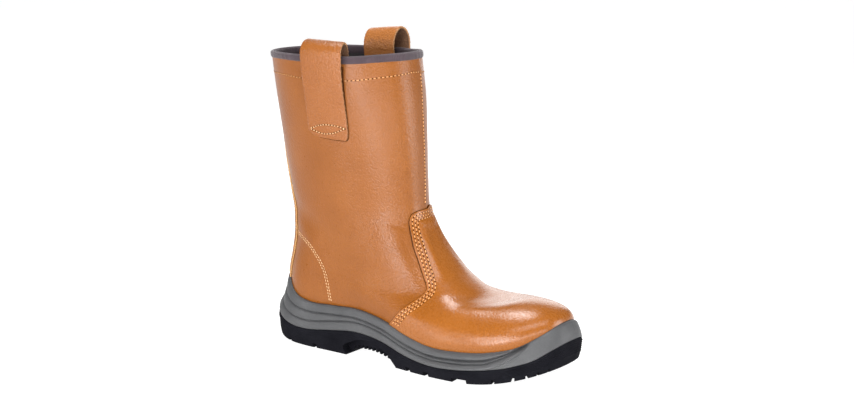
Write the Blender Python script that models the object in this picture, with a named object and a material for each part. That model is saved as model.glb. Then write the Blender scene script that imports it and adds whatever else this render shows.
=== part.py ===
"""Pull-on safety boot for the right foot: a hollow leather upper on a two-part moulded sole.

The boot is drawn with X from heel to toe, Y to the inner side and Z up, in millimetres.
Every piece follows one surface, the outside of the upper, which is a stack of rings round the foot.
On a ring the share u runs from the back (0) by the outer side (0.25) and the toe (0.5) to the
inner side (0.75). The share v runs from the feather edge in the sole (0) to the collar (1).
"""
import math

import bmesh
import bpy
import numpy as np

MM = 0.001
GAP = 0.3
CUP_GAP = 0.5
ORIGIN = (151.63, 0.62, 0.0)
COLUMNS = 52
DENSE = 121

# Sizes of each ring of the upper, from the feather edge up to the collar.
RING_FIELDS = ("back_x", "back_z", "side_z", "front_x", "front_z", "heel_half", "ball_half",
               "swing", "heel_round", "toe_round", "blunt", "waist")
RINGS = np.array([
    (17.0, 30.0, 17.0, 288.0, 31.0, 29.0, 43.0, 8.0, 34.0, 84.0, 2.3, 6.0),
    (15.5, 37.0, 24.0, 293.5, 40.0, 33.5, 49.0, 8.0, 36.0, 86.0, 2.3, 5.0),
    (14.2, 44.0, 30.0, 295.5, 48.0, 35.0, 51.5, 8.0, 37.0, 86.0, 2.3, 4.0),
    (13.4, 50.0, 35.5, 294.5, 54.5, 35.5, 51.5, 8.0, 38.0, 87.0, 2.25, 3.0),
    (13.2, 55.0, 41.0, 289.0, 59.8, 35.5, 50.5, 8.0, 39.0, 88.0, 2.2, 2.0),
    (13.2, 60.0, 46.0, 278.0, 63.8, 35.5, 48.5, 7.5, 40.0, 90.0, 2.1, 1.0),
    (13.6, 66.0, 51.5, 261.0, 65.0, 35.2, 45.5, 7.0, 41.0, 92.0, 2.05, 0.0),
    (14.5, 73.0, 57.5, 240.0, 61.8, 34.8, 42.5, 6.5, 42.0, 93.0, 2.05, 0.0),
    (15.9, 81.0, 65.0, 219.5, 62.8, 34.3, 40.0, 6.0, 44.0, 94.0, 2.15, 0.0),
    (17.2, 90.0, 77.0, 202.0, 70.8, 33.8, 38.5, 5.0, 46.0, 92.0, 2.3, 0.0),
    (18.3, 100.0, 89.5, 187.0, 81.0, 33.5, 38.0, 4.0, 48.0, 88.0, 2.4, 0.0),
    (18.8, 112.0, 103.5, 173.0, 96.0, 33.8, 38.0, 3.0, 51.0, 83.0, 2.4, 0.0),
    (18.0, 126.0, 118.0, 162.0, 111.0, 35.0, 38.5, 2.3, 54.0, 78.0, 2.4, 0.0),
    (14.8, 144.0, 136.5, 154.5, 130.0, 37.5, 40.0, 1.5, 59.0, 75.0, 2.3, 0.0),
    (10.0, 170.0, 164.0, 152.5, 158.0, 41.5, 43.0, 0.7, 66.0, 73.0, 2.2, 0.0),
    (6.0, 200.0, 195.0, 151.2, 190.0, 46.0, 46.5, 0.0, 70.0, 73.0, 2.15, 0.0),
    (1.8, 236.0, 233.0, 147.8, 230.0, 51.0, 51.0, 0.0, 72.5, 72.5, 2.15, 0.0),
    (-1.6, 268.0, 268.0, 141.8, 268.0, 53.0, 53.0, 0.0, 71.7, 71.7, 2.15, 0.0),
])
HEEL_POWER = 2.2
DROP_START = 0.22
DROP_END = 0.62
FRONT_LIFT = 2.2
INNER_TOE = 0.85
OUTER_WAIST = 0.6
INNER_WAIST = 1.4
WALL = 2.2

# Outlines of the sole at the grey and black seam and on the ground, in the fields of a ring.
SEAM_RING = (1.0, 0.0, 0.0, 305.0, 0.0, 41.2, 57.0, 7.0, 43.0, 93.0, 2.3, 5.0)
GROUND_RING = (2.5, 0.0, 0.0, 303.0, 0.0, 40.5, 56.0, 7.0, 41.0, 91.0, 2.3, 5.0)

# Heights along the side of the sole: the top of the rim and the grey and black seam.
SIDE_FIELDS = ("x", "rim_z", "seam_z", "upper_groove", "lower_groove")
SIDE = np.array([
    (0.0, 67.0, 30.0, 0.33, 0.66),
    (12.0, 66.5, 25.0, 0.33, 0.66),
    (19.0, 62.5, 22.5, 0.33, 0.66),
    (26.0, 55.0, 20.3, 0.32, 0.66),
    (36.0, 47.0, 18.0, 0.31, 0.66),
    (50.0, 42.5, 16.8, 0.31, 0.66),
    (80.0, 42.5, 20.0, 0.33, 0.60),
    (110.0, 44.0, 23.5, 0.36, 0.54),
    (142.0, 39.5, 21.0, 0.39, 0.56),
    (170.0, 31.0, 14.0, 0.42, 0.60),
    (198.0, 25.5, 10.5, 0.44, 0.63),
    (222.0, 26.0, 11.2, 0.44, 0.64),
    (250.0, 29.0, 14.8, 0.44, 0.65),
    (275.0, 36.5, 20.5, 0.44, 0.65),
    (290.0, 47.0, 26.5, 0.44, 0.65),
    (300.0, 56.5, 34.0, 0.44, 0.65),
    (310.0, 61.0, 42.0, 0.44, 0.65),
])
LIP = 3.2
LIP_ROUND = 0.6
TAB_LIP = 1.2
TAB_SPAN = 40.0
TOE_LIP = 5.0
TOE_LIP_START = 280.0
TOE_LIP_SPAN = 14.0
MIDSOLE_FLOOR = 5.0
LIP_INSET = 5.0

# Steps down the side of the midsole: the groove each lies at, the share beside it and how proud it stands.
STEPS = (("", 0.06, 0.5), ("upper_groove", -0.05, 0.9), ("upper_groove", 0.0, -0.7),
         ("upper_groove", 0.05, 1.2), ("lower_groove", -0.05, 1.2), ("lower_groove", 0.0, -0.4),
         ("lower_groove", 0.05, 1.2), ("", 0.88, 0.5))
BUMPER_START = 262.0
BUMPER_SPAN = 22.0
BUMPER_BULGE = 0.8

# Tread of the black outsole.
SPRING_START = 222.0
SPRING_SPAN = 83.0
TOE_SPRING = 18.0
HEEL_BEVEL = 4.0
HEEL_BEVEL_SPAN = 14.0
ARCH_PROFILE = ((97.0, -6.0), (97.5, 0.0), (103.0, 3.0), (108.5, 9.0), (111.5, 14.5), (116.0, 17.0),
                (123.0, 16.8), (131.0, 14.0), (141.0, 8.5), (150.0, 3.0), (156.0, 0.0), (160.0, -6.0))
RIB_X = np.arange(117.0, 152.0, 5.0)
RIB_WIDTH = 2.4
RIB_DEPTH = 1.8
NOTCH_X = (34.0, 62.0, 174.0, 195.0, 219.0, 236.0, 257.0, 273.0, 288.0)
NOTCH_WIDTH = 3.6
NOTCH_DEPTH = 5.0
NOTCH_LENGTH = 17.0
NOTCH_OVERRUN = 6.0
CHANNEL_INSET = 20.0
CHANNEL_WIDTH = 4.5
CHANNEL_DEPTH = 4.5
CHANNEL_RUNS = ((20.0, 84.0), (170.0, 286.0))
CROSS_X = (48.0, 184.0, 207.0, 228.0, 247.0, 265.0)
CROSS_WIDTH = 4.0
TREAD_EDGE = 2.0
TREAD_EDGE_RISE = 1.5
OUTSOLE_BULGE = 0.6
TOE_RIBS = ((0.62, 0.0), (0.54, 1.0), (0.46, 0.0), (0.38, 1.0), (0.30, 0.0), (0.22, 1.0), (0.14, 0.0))
TOE_RIB_START = 262.0
TOE_RIB_FADE = 12.0
TOE_RIB_HEIGHT = 0.8

INSOLE_THICK = 3.0
CUP_LEVELS = 11

# Reach of the cutting blocks past the boot, and the fineness of the curves.
BLOCK_HALF = 90.0
BLOCK_FOOT = -8.0
CHANNEL_POINTS = 9
HALVINGS = 26
SHARP_DEG = 35.0

# Rear edge of the front overlay from the side, from the sole's rim up to the throat.
VAMP_THICK = 1.6
VAMP_COLUMNS = range(7, COLUMNS - 6)
VAMP_LEVELS = 16
VAMP_EDGE = ((149.5, 38.6), (155.4, 45.0), (162.5, 53.0), (172.5, 61.5), (177.5, 68.0), (176.8, 73.0),
             (171.4, 81.5), (165.0, 92.5), (158.0, 105.0), (152.5, 119.5), (151.0, 127.0), (153.0, 132.5),
             (160.0, 135.5))
VAMP_REACH = 320.0
RIM_CLEAR = 0.7
RIM_POINTS = 20
BACK_STRIP_COLUMNS = range(-1, 2)
BACK_STRIP_THICK = 1.4
BACK_STRIP_REACH = (-20.0, 60.0)

BINDING_DROP = 8.5
BINDING_THICK = 0.8

# Pull loops: side (-1 outer, 1 inner), place along the boot and height of the arch over the collar.
LOOPS = {"pull_loop_outer": (-1, 87.0, 12.5), "pull_loop_inner": (1, 73.0, 18.5)}
LOOP_WIDTH = 37.0
LOOP_THICK = 2.0
LOOP_COLUMNS = 6
LOOP_FIELDS = ("drop", "rise", "out", "wide")
LOOP_PATH = np.array([
    (66.5, 0.0, 0.6, 0.80), (64.0, 0.0, 0.6, 1.0), (59.0, 0.0, 0.6, 1.1), (49.0, 0.0, 0.7, 1.09),
    (37.0, 0.0, 1.8, 1.06), (23.0, 0.0, 4.0, 1.02), (10.0, 0.0, 6.2, 1.0), (0.0, 0.0, 7.0, 1.0),
    (0.0, 0.47, 6.6, 1.0), (0.0, 0.85, 3.2, 1.0), (0.0, 1.0, -2.2, 1.0), (0.0, 0.85, -7.6, 1.0),
    (0.0, 0.47, -11.2, 1.0), (0.0, 0.0, -11.8, 1.0), (10.0, 0.0, -10.4, 1.0), (26.0, 0.0, -7.4, 1.0),
    (40.0, 0.0, -5.4, 1.0),
])

LEATHER = ((0.56, 0.20, 0.055), 0.42)
LEATHER_DARK = ((0.50, 0.18, 0.05), 0.5)
TAPE = ((0.09, 0.07, 0.08), 0.8)
GREY = ((0.14, 0.14, 0.145), 0.6)
BLACK = ((0.018, 0.018, 0.02), 0.55)
FELT = ((0.10, 0.09, 0.085), 0.9)


def smooth(share):
    """Ease from 0 to 1 with level ends."""
    share = np.clip(share, 0.0, 1.0)
    return share * share * (3.0 - 2.0 * share)


def ring_sizes(v):
    """Sizes of the upper's ring at the share v, on a smooth curve through the table's rows."""
    place = min(max(v, 0.0), 1.0) * (len(RINGS) - 1)
    low = min(int(place), len(RINGS) - 2)
    t = place - low
    before, start, end, after = (RINGS[min(max(low + i, 0), len(RINGS) - 1)] for i in (-1, 0, 1, 2))
    cubic = 3.0 * start - before - 3.0 * end + after
    square = 2.0 * before - 5.0 * start + 4.0 * end - after
    return start + 0.5 * ((end - before) * t + square * t**2 + cubic * t**3)


def ring_height(size, share):
    """Height of a ring along its length: level at the heel, lower at the ball, lifted at its front tip."""
    length = size["front_x"] - size["back_x"]
    front = np.clip(1.0 - (1.0 - share) * length / size["toe_round"], 0.0, 1.0)
    drop = smooth((share - DROP_START) / (DROP_END - DROP_START))
    side = size["back_z"] + (size["side_z"] - size["back_z"]) * drop
    return side + (size["front_z"] - size["side_z"]) * front**FRONT_LIFT


def ring_side(sizes, side):
    """Dense points of one side of a ring from back to front; side is -1 outer or 1 inner."""
    size = dict(zip(RING_FIELDS, sizes))
    length = size["front_x"] - size["back_x"]
    share = 0.5 - 0.5 * np.cos(np.linspace(0.0, math.pi, DENSE))
    run = share * length
    toe = size["toe_round"] * (INNER_TOE if side > 0 else 1.0)
    heel = size["heel_round"]
    waist = size["waist"] * (INNER_WAIST if side > 0 else OUTER_WAIST)
    middle = np.clip((run - heel) / max(length - heel - toe, 1.0), 0.0, 1.0)
    half = size["heel_half"] + (size["ball_half"] - size["heel_half"]) * smooth(middle)
    half = half - waist * np.sin(math.pi * middle) ** 2
    back = np.clip(1.0 - run / heel, 0.0, 1.0)
    front = np.clip(1.0 - (length - run) / toe, 0.0, 1.0)
    half = half * (1.0 - back**HEEL_POWER) ** (1.0 / HEEL_POWER)
    half = half * (1.0 - front ** size["blunt"]) ** (1.0 / size["blunt"])
    y = size["swing"] * smooth(share) + side * half
    return np.stack([size["back_x"] + run, y, ring_height(size, share)], axis=1)


def ring_points(sizes, u):
    """Points of a ring at the shares u of the way round it."""
    u = np.mod(u, 1.0)
    points = np.empty((len(u), 3))
    for side, there, share in ((-1, u <= 0.5, 2.0 * u), (1, u > 0.5, 2.0 - 2.0 * u)):
        line = ring_side(sizes, side)
        along = np.concatenate([[0.0], np.cumsum(np.hypot(*np.diff(line[:, :2], axis=0).T))])
        for axis in range(3):
            points[there, axis] = np.interp(share[there], along / along[-1], line[:, axis])
    return points


def upper_points(u, v):
    """Points on the outside of the upper at the shares u and v."""
    u, v = np.broadcast_arrays(np.asarray(u, float), np.asarray(v, float))
    points = np.empty(u.shape + (3,))
    for value in np.unique(v):
        points[v == value] = ring_points(ring_sizes(value), u[v == value])
    return points


def upper_outward(u, v, level=False):
    """Unit directions out of the upper at the shares u and v, kept level where asked."""
    step = 0.004
    along = upper_points(u + step, v) - upper_points(u - step, v)
    up = upper_points(u, np.minimum(v + step, 1.0)) - upper_points(u, np.maximum(v - step, 0.0))
    out = np.cross(along, up)
    if level:
        out[..., 2] = 0.0
    return out / np.linalg.norm(out, axis=-1, keepdims=True)


def upper_offset(u, v, distance, level=False):
    """Points a distance out from the upper."""
    u, v = np.broadcast_arrays(np.asarray(u, float), np.asarray(v, float))
    return upper_points(u, v) + distance * upper_outward(u, v, level)


def bisect(under, low, high):
    """Values between low and high where under turns from true to false, one for each column."""
    for _ in range(HALVINGS):
        middle = 0.5 * (low + high)
        below = under(middle)
        low = np.where(below, middle, low)
        high = np.where(below, high, middle)
    return 0.5 * (low + high)


def side_value(name, x):
    """Value of one column of the side table at x, eased between its rows."""
    rows = SIDE[:, SIDE_FIELDS.index(name)]
    places = SIDE[:, 0]
    slopes = np.gradient(rows, places)
    x = np.clip(x, places[0], places[-1])
    low = np.clip(np.searchsorted(places, x, side="right") - 1, 0, len(places) - 2)
    span = places[low + 1] - places[low]
    t = (x - places[low]) / span
    start = (1.0 + 2.0 * t) * (1.0 - t) ** 2 * rows[low] + t * (1.0 - t) ** 2 * span * slopes[low]
    end = t * t * (3.0 - 2.0 * t) * rows[low + 1] + t * t * (t - 1.0) * span * slopes[low + 1]
    return start + end


def bed_z(x):
    """Height of the foot bed along the boot."""
    size = dict(zip(RING_FIELDS, RINGS[0]))
    share = np.clip((x - size["back_x"]) / (size["front_x"] - size["back_x"]), 0.0, 1.0)
    return ring_height(size, share)


def ground_z(x):
    """Height of the tread: flat under ball and heel, lifted at the toe, bevelled behind the heel."""
    spring = TOE_SPRING * np.clip((x - SPRING_START) / SPRING_SPAN, 0.0, None) ** 2
    bevel = HEEL_BEVEL * np.clip(1.0 - x / HEEL_BEVEL_SPAN, 0.0, None) ** 2
    return spring + bevel


def at_height(points, z):
    """The same points at the heights z."""
    return np.column_stack([points[:, 0], points[:, 1], z])


def plan_outward(ring):
    """Unit level directions out of a closed ring."""
    along = np.roll(ring, -1, axis=0) - np.roll(ring, 1, axis=0)
    out = np.column_stack([along[:, 1], -along[:, 0], np.zeros(len(ring))])
    return out / np.linalg.norm(out, axis=1, keepdims=True)


def column_shares():
    """Shares u of the boot's columns."""
    return np.arange(COLUMNS) / COLUMNS


def upper_levels():
    """Shares v of the upper's levels: each ring of the table, and the foot of the binding."""
    foot = drop_share(BINDING_DROP)
    return np.sort(np.append(np.linspace(0.0, 1.0, len(RINGS)), foot))


def rim_share():
    """Share v at which each column of the upper leaves the sole."""
    u = column_shares()

    def under(v):
        points = upper_points(u, v)
        return points[:, 2] < side_value("rim_z", points[:, 0])

    return bisect(under, np.zeros(COLUMNS), np.full(COLUMNS, 0.5))


def seam_ring():
    """Outer edge where midsole and outsole meet."""
    ring = ring_points(SEAM_RING, column_shares())
    return at_height(ring, side_value("seam_z", ring[:, 0]))


def core_ring(clear=0.0):
    """Edge of the flat joint between midsole and outsole, inside their outer edge."""
    seam = seam_ring()
    ring = seam - (LIP_INSET + clear) * plan_outward(seam)
    return at_height(ring, np.minimum(ring[:, 2], bed_z(ring[:, 0]) - MIDSOLE_FLOOR))


def loft_faces(count, columns, first=0):
    """Faces between count rings of points that follow each other."""
    faces = []
    for row in range(count - 1):
        low = first + row * columns
        high = low + columns
        for k in range(columns):
            after = (k + 1) % columns
            faces.append((low + k, low + after, high + after))
            faces.append((low + k, high + after, high + k))
    return faces


def ladder_faces(columns, first):
    """Faces that close a ring by rungs from its outer to its inner side."""
    half = columns // 2
    faces = [(first, first + 1, first + columns - 1)]
    for k in range(1, half - 1):
        faces.append((first + k, first + k + 1, first + columns - k - 1))
        faces.append((first + k, first + columns - k - 1, first + columns - k))
    faces.append((first + half - 1, first + half, first + half + 1))
    return faces


def capped(rings):
    """Points and faces of a solid through the rings, closed at its first and last one."""
    columns = len(rings[0])
    faces = loft_faces(len(rings), columns)
    faces += ladder_faces(columns, 0)
    faces += ladder_faces(columns, (len(rings) - 1) * columns)
    return np.concatenate(rings), faces


def hoop(rings):
    """Points and faces of a solid whose last ring joins its first."""
    columns = len(rings[0])
    faces = loft_faces(len(rings), columns)
    last = (len(rings) - 1) * columns
    for k in range(columns):
        after = (k + 1) % columns
        faces.append((last + k, last + after, after))
        faces.append((last + k, after, k))
    return np.concatenate(rings), faces


def slab(lower, upper):
    """Points and faces of a sheet between two grids of the same size."""
    rows, columns = lower.shape[:2]
    points = np.concatenate([lower.reshape(-1, 3), upper.reshape(-1, 3)])
    size = rows * columns
    faces = []
    for r in range(rows - 1):
        for c in range(columns - 1):
            a = r * columns + c
            for face in ((a, a + 1, a + columns + 1), (a, a + columns + 1, a + columns)):
                faces.append(face[::-1])
                faces.append(tuple(size + i for i in face))
    edge = list(range(columns))
    edge += [r * columns + columns - 1 for r in range(1, rows)]
    edge += [(rows - 1) * columns + c for c in range(columns - 2, -1, -1)]
    edge += [r * columns for r in range(rows - 2, 0, -1)]
    for here, after in zip(edge, edge[1:] + edge[:1]):
        faces.append((here, after, size + after, size + here))
    return points, faces


def box(centre, along, length, width, low, high):
    """Points and faces of an upright block with its length along a level direction."""
    across = np.array([-along[1], along[0]])
    corners = []
    for z in (low, high):
        for a, b in ((-0.5, -0.5), (0.5, -0.5), (0.5, 0.5), (-0.5, 0.5)):
            place = centre[:2] + a * length * along[:2] + b * width * across
            corners.append((place[0], place[1], z))
    faces = [(3, 2, 1, 0), (4, 5, 6, 7)]
    faces += [(k, (k + 1) % 4, 4 + (k + 1) % 4, 4 + k) for k in range(4)]
    return np.array(corners), faces


def joined(solids):
    """Points and faces of several solids as one list."""
    points, faces = [], []
    for solid_points, solid_faces in solids:
        first = sum(len(p) for p in points)
        points.append(solid_points)
        faces += [tuple(first + i for i in face) for face in solid_faces]
    return np.concatenate(points), faces


def make_material(name, look):
    """Principled material of one colour and roughness."""
    material = bpy.data.materials.new(name)
    material.use_nodes = True
    shader = material.node_tree.nodes["Principled BSDF"]
    shader.inputs["Base Color"].default_value = (*look[0], 1.0)
    shader.inputs["Roughness"].default_value = look[1]
    shader.inputs["Metallic"].default_value = 0.0
    return material


def make_object(name, solid, collection, root):
    """Mesh object of a solid given in millimetres, carried by the boot's root."""
    points, faces = solid
    mesh = bpy.data.meshes.new(name)
    mesh.from_pydata([tuple(p) for p in points * MM], [], faces)
    work = bmesh.new()
    work.from_mesh(mesh)
    bmesh.ops.recalc_face_normals(work, faces=work.faces)
    work.to_mesh(mesh)
    work.free()
    mesh.shade_smooth()
    mesh.set_sharp_from_angle(angle=math.radians(SHARP_DEG))
    item = bpy.data.objects.new(name, mesh)
    item.parent = root
    collection.objects.link(item)
    return item


def cut(item, cutter, operation):
    """Take a cutter's shape out of a part, or keep only what lies in it."""
    cutter.hide_render = True
    cutter.display_type = "WIRE"
    modifier = item.modifiers.new(cutter.name, "BOOLEAN")
    modifier.operation = operation
    modifier.object = cutter


def upper_solid():
    """Hollow upper with its real wall, open at the collar and under the foot."""
    u = column_shares()
    levels = upper_levels()
    ends = (levels[0], levels[-1])
    outside = [upper_points(u, v) for v in levels]
    inside = [upper_offset(u, v, -WALL, level=v in ends) for v in levels]
    outside[0] = outside[0] + (0.0, 0.0, GAP)
    inside[0] = inside[0] + (0.0, 0.0, GAP)
    return hoop(outside + inside[::-1])


def shell_solid(columns, levels, thick):
    """Sheet lying on the upper, on its own columns and levels."""
    u = np.array(columns) / COLUMNS
    inner = np.array([upper_offset(u, v, GAP) for v in levels])
    outer = np.array([upper_offset(u, v, GAP + thick) for v in levels])
    return slab(inner, outer)


def side_prism(outline):
    """Block across the whole boot with an outline given from the side."""
    outline = np.array(outline)
    count = len(outline)
    sides = [np.column_stack([outline[:, 0], np.full(count, y), outline[:, 1]]) for y in (-BLOCK_HALF, BLOCK_HALF)]
    faces = [tuple(range(count)), tuple(range(2 * count - 1, count - 1, -1))]
    faces += [(k, (k + 1) % count, count + (k + 1) % count, count + k) for k in range(count)]
    return np.concatenate(sides), faces


def rim_line(start, end):
    """Points just above the rim of the sole, seen from the side."""
    return [(x, side_value("rim_z", x) + RIM_CLEAR) for x in np.linspace(start, end, RIM_POINTS)]


def vamp_solid():
    """Front overlay before it is cut to its outline."""
    return shell_solid(VAMP_COLUMNS, upper_levels()[:VAMP_LEVELS], VAMP_THICK)


def vamp_outline():
    """Outline of the front overlay from the side: rear edge, throat and the rim of the sole."""
    rim = rim_line(VAMP_REACH, VAMP_EDGE[0][0])[:-1]
    return [*VAMP_EDGE, (VAMP_REACH, VAMP_EDGE[-1][1]), *rim]


def back_strip_solid():
    """Strip up the back seam before its ends are cut."""
    return shell_solid(BACK_STRIP_COLUMNS, upper_levels(), BACK_STRIP_THICK)


def back_strip_outline():
    """Outline of the back strip from the side, between the heel tab and the binding."""
    top = RINGS[-1][1] - BINDING_DROP - GAP
    behind, before = BACK_STRIP_REACH
    return [(before, top), (behind, top), *rim_line(behind, before)]


def binding_solid():
    """Tape folded over the collar's edge."""
    u = column_shares()
    collar = upper_points(u, 1.0)
    out = upper_outward(u, 1.0 + np.zeros(COLUMNS), level=True)
    foot = upper_points(u, drop_share(BINDING_DROP))
    skin = GAP + BINDING_THICK
    top = np.array([0.0, 0.0, GAP])
    crown = np.array([0.0, 0.0, skin])
    rings = [foot + GAP * out, foot + skin * out, collar + skin * out + 0.5 * crown]
    rings += [collar - 0.5 * WALL * out + crown, collar - (WALL + skin) * out + 0.5 * crown]
    rings += [foot - (WALL + skin) * out, foot - (WALL + GAP) * out, collar - (WALL + GAP) * out + top]
    rings += [collar + GAP * out + top]
    return hoop(rings)


def loop_share(v, x, side):
    """Share u on the outer (-1) or inner (1) side of the ring v at the place x."""
    def behind(u):
        return upper_points(u, v)[..., 0] < x

    outer = bisect(behind, np.array([0.02]), np.array([0.48]))[0]
    return outer if side < 0 else 1.0 - outer


def loop_solid(side, centre_x, arch):
    """Pull loop: a strap sewn on the outside, bowed over the collar and down the inside."""
    drop, rise, out, wide = LOOP_PATH.T
    line = np.column_stack([out, rise * arch - drop])
    ahead = np.gradient(line, axis=0)
    normal = np.column_stack([ahead[:, 1], -ahead[:, 0]]) / np.linalg.norm(ahead, axis=1)[:, None]
    lower, upper = [], []
    for i in range(len(line)):
        v = drop_share(drop[i])
        places = centre_x + LOOP_WIDTH * wide[i] * np.linspace(-0.5, 0.5, LOOP_COLUMNS + 1)
        u = np.array([loop_share(v, x, side) for x in places])
        base = upper_points(u, v) + (0.0, 0.0, rise[i] * arch)
        outward = upper_outward(u, np.full(len(u), v), level=True)
        thick = LOOP_THICK * (normal[i, 0] * outward + (0.0, 0.0, normal[i, 1]))
        lower.append(base + out[i] * outward)
        upper.append(base + out[i] * outward + thick)
    return slab(np.array(lower), np.array(upper))


def drop_share(drop):
    """Share v at a drop below the collar."""
    def under(v):
        return np.array([ring_sizes(v[0])[1] < RINGS[-1][1] - drop])

    return bisect(under, np.array([0.3]), np.array([1.0]))[0]


def midsole_solid():
    """Grey midsole before the foot is taken out: a stepped side and a smooth toe bumper."""
    u = column_shares()
    rim = rim_share()
    seam = seam_ring()
    out = plan_outward(seam)
    edge = upper_points(u, rim)
    tab = smooth((edge[:, 0] - np.min(edge[:, 0])) / TAB_SPAN)
    tip = smooth((edge[:, 0] - TOE_LIP_START) / TOE_LIP_SPAN)
    proud = TAB_LIP + (LIP - TAB_LIP) * tab + (TOE_LIP - LIP) * tip
    lip = edge + proud[:, None] * upper_outward(u, rim, level=True)
    toe = smooth((seam[:, 0] - BUMPER_START) / BUMPER_SPAN)
    rings = [edge, lip - (0.0, 0.0, LIP_ROUND)]
    for groove, beside, step in STEPS:
        share = beside + (side_value(groove, seam[:, 0]) if groove else np.zeros(COLUMNS))
        proud = step * (1.0 - toe) + BUMPER_BULGE * np.sin(math.pi * share) * toe
        rings.append(lip + (seam - lip) * share[:, None] + proud[:, None] * out)
    joint = np.array([0.0, 0.0, GAP])
    rings.append(seam + joint)
    rings.append(core_ring(CUP_GAP) + joint)
    return capped(rings)


def foot_cutter():
    """Room for the upper in the midsole, a gap wider than the upper, down to the foot bed."""
    u = column_shares()
    bed = upper_offset(u, 0.0, GAP, level=True)
    rings = [bed] + [upper_offset(u, v, GAP) for v in upper_levels()[1:CUP_LEVELS]]
    return capped(rings)


def outsole_solid():
    """Black outsole before its tread is cut."""
    seam = seam_ring()
    ground = ring_points(GROUND_RING, column_shares())
    ground = at_height(ground, ground_z(ground[:, 0]))
    toe = smooth((seam[:, 0] - TOE_RIB_START) / TOE_RIB_FADE)[:, None]
    out = plan_outward(seam)
    edge = ground - TREAD_EDGE * plan_outward(ground)
    rings = [at_height(edge, ground_z(edge[:, 0])), ground + (0.0, 0.0, TREAD_EDGE_RISE)]
    for share, rib in TOE_RIBS:
        rings.append(seam + (ground - seam) * share + (OUTSOLE_BULGE + rib * TOE_RIB_HEIGHT * toe) * out)
    return capped(rings + [seam, core_ring()])


def rib_cutter():
    """Fine cross ribs of the arch."""
    arch = np.array(ARCH_PROFILE)
    along = np.array([1.0, 0.0])
    solids = []
    for x in RIB_X:
        top = np.interp(x, arch[:, 0], arch[:, 1]) + RIB_DEPTH
        solids.append(box(np.array([x, 0.0]), along, RIB_WIDTH, 2.0 * BLOCK_HALF, BLOCK_FOOT, top))
    return joined(solids)


def tread_side(x, side):
    """Point and level outward direction of the ground outline at x."""
    line = ring_side(GROUND_RING, side)
    k = int(np.searchsorted(line[:, 0], x))
    along = line[k + 1] - line[k - 1]
    along = along[:2] / np.linalg.norm(along[:2])
    return np.array([x, np.interp(x, line[:, 0], line[:, 1])]), side * np.array([-along[1], along[0]])


def notch_cutter():
    """Notches between the lugs round the edge, and the cross grooves of the middle."""
    solids = []
    for x in NOTCH_X:
        for side in (-1, 1):
            edge, out = tread_side(x, side)
            centre = edge + 0.5 * (NOTCH_OVERRUN - NOTCH_LENGTH) * out
            top = ground_z(x) + NOTCH_DEPTH
            solids.append(box(centre, out, NOTCH_LENGTH + NOTCH_OVERRUN, NOTCH_WIDTH, BLOCK_FOOT, top))
    for x in CROSS_X:
        ends = [tread_side(x, side)[0] for side in (-1, 1)]
        width = ends[1][1] - ends[0][1] - 2.0 * CHANNEL_INSET
        centre = 0.5 * (ends[0] + ends[1])
        top = ground_z(x) + CHANNEL_DEPTH
        solids.append(box(centre, np.array([1.0, 0.0]), CROSS_WIDTH, width, BLOCK_FOOT, top))
    return joined(solids)


def channel_cutter():
    """Long channels between the edge lugs and the middle blocks."""
    solids = []
    for start, end in CHANNEL_RUNS:
        for side in (-1, 1):
            rings = []
            for x in np.linspace(start, end, CHANNEL_POINTS):
                edge, out = tread_side(x, side)
                place = edge - CHANNEL_INSET * out
                half = 0.5 * CHANNEL_WIDTH * out
                top = ground_z(x) + CHANNEL_DEPTH
                left, right = place - half, place + half
                corners = [(*left, BLOCK_FOOT), (*right, BLOCK_FOOT), (*right, top), (*left, top)]
                rings.append(np.array(corners))
            faces = loft_faces(len(rings), 4)
            last = 4 * (len(rings) - 1)
            faces += [(3, 2, 1, 0), (last, last + 1, last + 2, last + 3)]
            solids.append((np.concatenate(rings), faces))
    return joined(solids)


def insole_solid():
    """Removable insole lying on the foot bed."""
    u = column_shares()
    ring = upper_offset(u, 0.0, -(WALL + CUP_GAP), level=True)
    low = at_height(ring, bed_z(ring[:, 0]) + GAP)
    return capped([low, low + (0.0, 0.0, INSOLE_THICK)])


def build():
    """Make every part of the boot and cut the tread."""
    for item in list(bpy.data.objects):
        bpy.data.objects.remove(item, do_unlink=True)
    parts = bpy.data.collections.new("safety_boot")
    cutters = bpy.data.collections.new("cutters")
    bpy.context.scene.collection.children.link(parts)
    bpy.context.scene.collection.children.link(cutters)
    root = bpy.data.objects.new("boot_root", None)
    root.location = tuple(-MM * value for value in ORIGIN)
    parts.objects.link(root)

    solids = (
        ("upper", upper_solid(), LEATHER),
        ("vamp", vamp_solid(), LEATHER),
        ("back_strip", back_strip_solid(), LEATHER_DARK),
        ("collar_binding", binding_solid(), TAPE),
        *((name, loop_solid(*place), LEATHER_DARK) for name, place in LOOPS.items()),
        ("insole", insole_solid(), FELT),
        ("midsole", midsole_solid(), GREY),
        ("outsole", outsole_solid(), BLACK),
    )
    for name, solid, look in solids:
        item = make_object(name, solid, parts, root)
        item.data.materials.append(make_material(f"{name}_material", look))

    cuts = (
        ("vamp", "vamp_outline", side_prism(vamp_outline()), "INTERSECT"),
        ("back_strip", "back_strip_outline", side_prism(back_strip_outline()), "INTERSECT"),
        ("midsole", "foot_cut", foot_cutter(), "DIFFERENCE"),
        ("outsole", "arch_cut", side_prism(ARCH_PROFILE), "DIFFERENCE"),
        ("outsole", "rib_cut", rib_cutter(), "DIFFERENCE"),
        ("outsole", "channel_cut", channel_cutter(), "DIFFERENCE"),
        ("outsole", "notch_cut", notch_cutter(), "DIFFERENCE"),
    )
    for part, name, solid, operation in cuts:
        cut(bpy.data.objects[part], make_object(name, solid, cutters, root), operation)
    for part in sorted({row[0] for row in cuts}):
        bpy.data.objects[part].modifiers.new("triangles", "TRIANGULATE")


build()
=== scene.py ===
"""Looks of the pull-on safety boot: leather, tape, stitching, lining and moulded sole."""
import math

import bmesh
import bpy
import numpy as np
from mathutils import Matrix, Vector, kdtree


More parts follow.
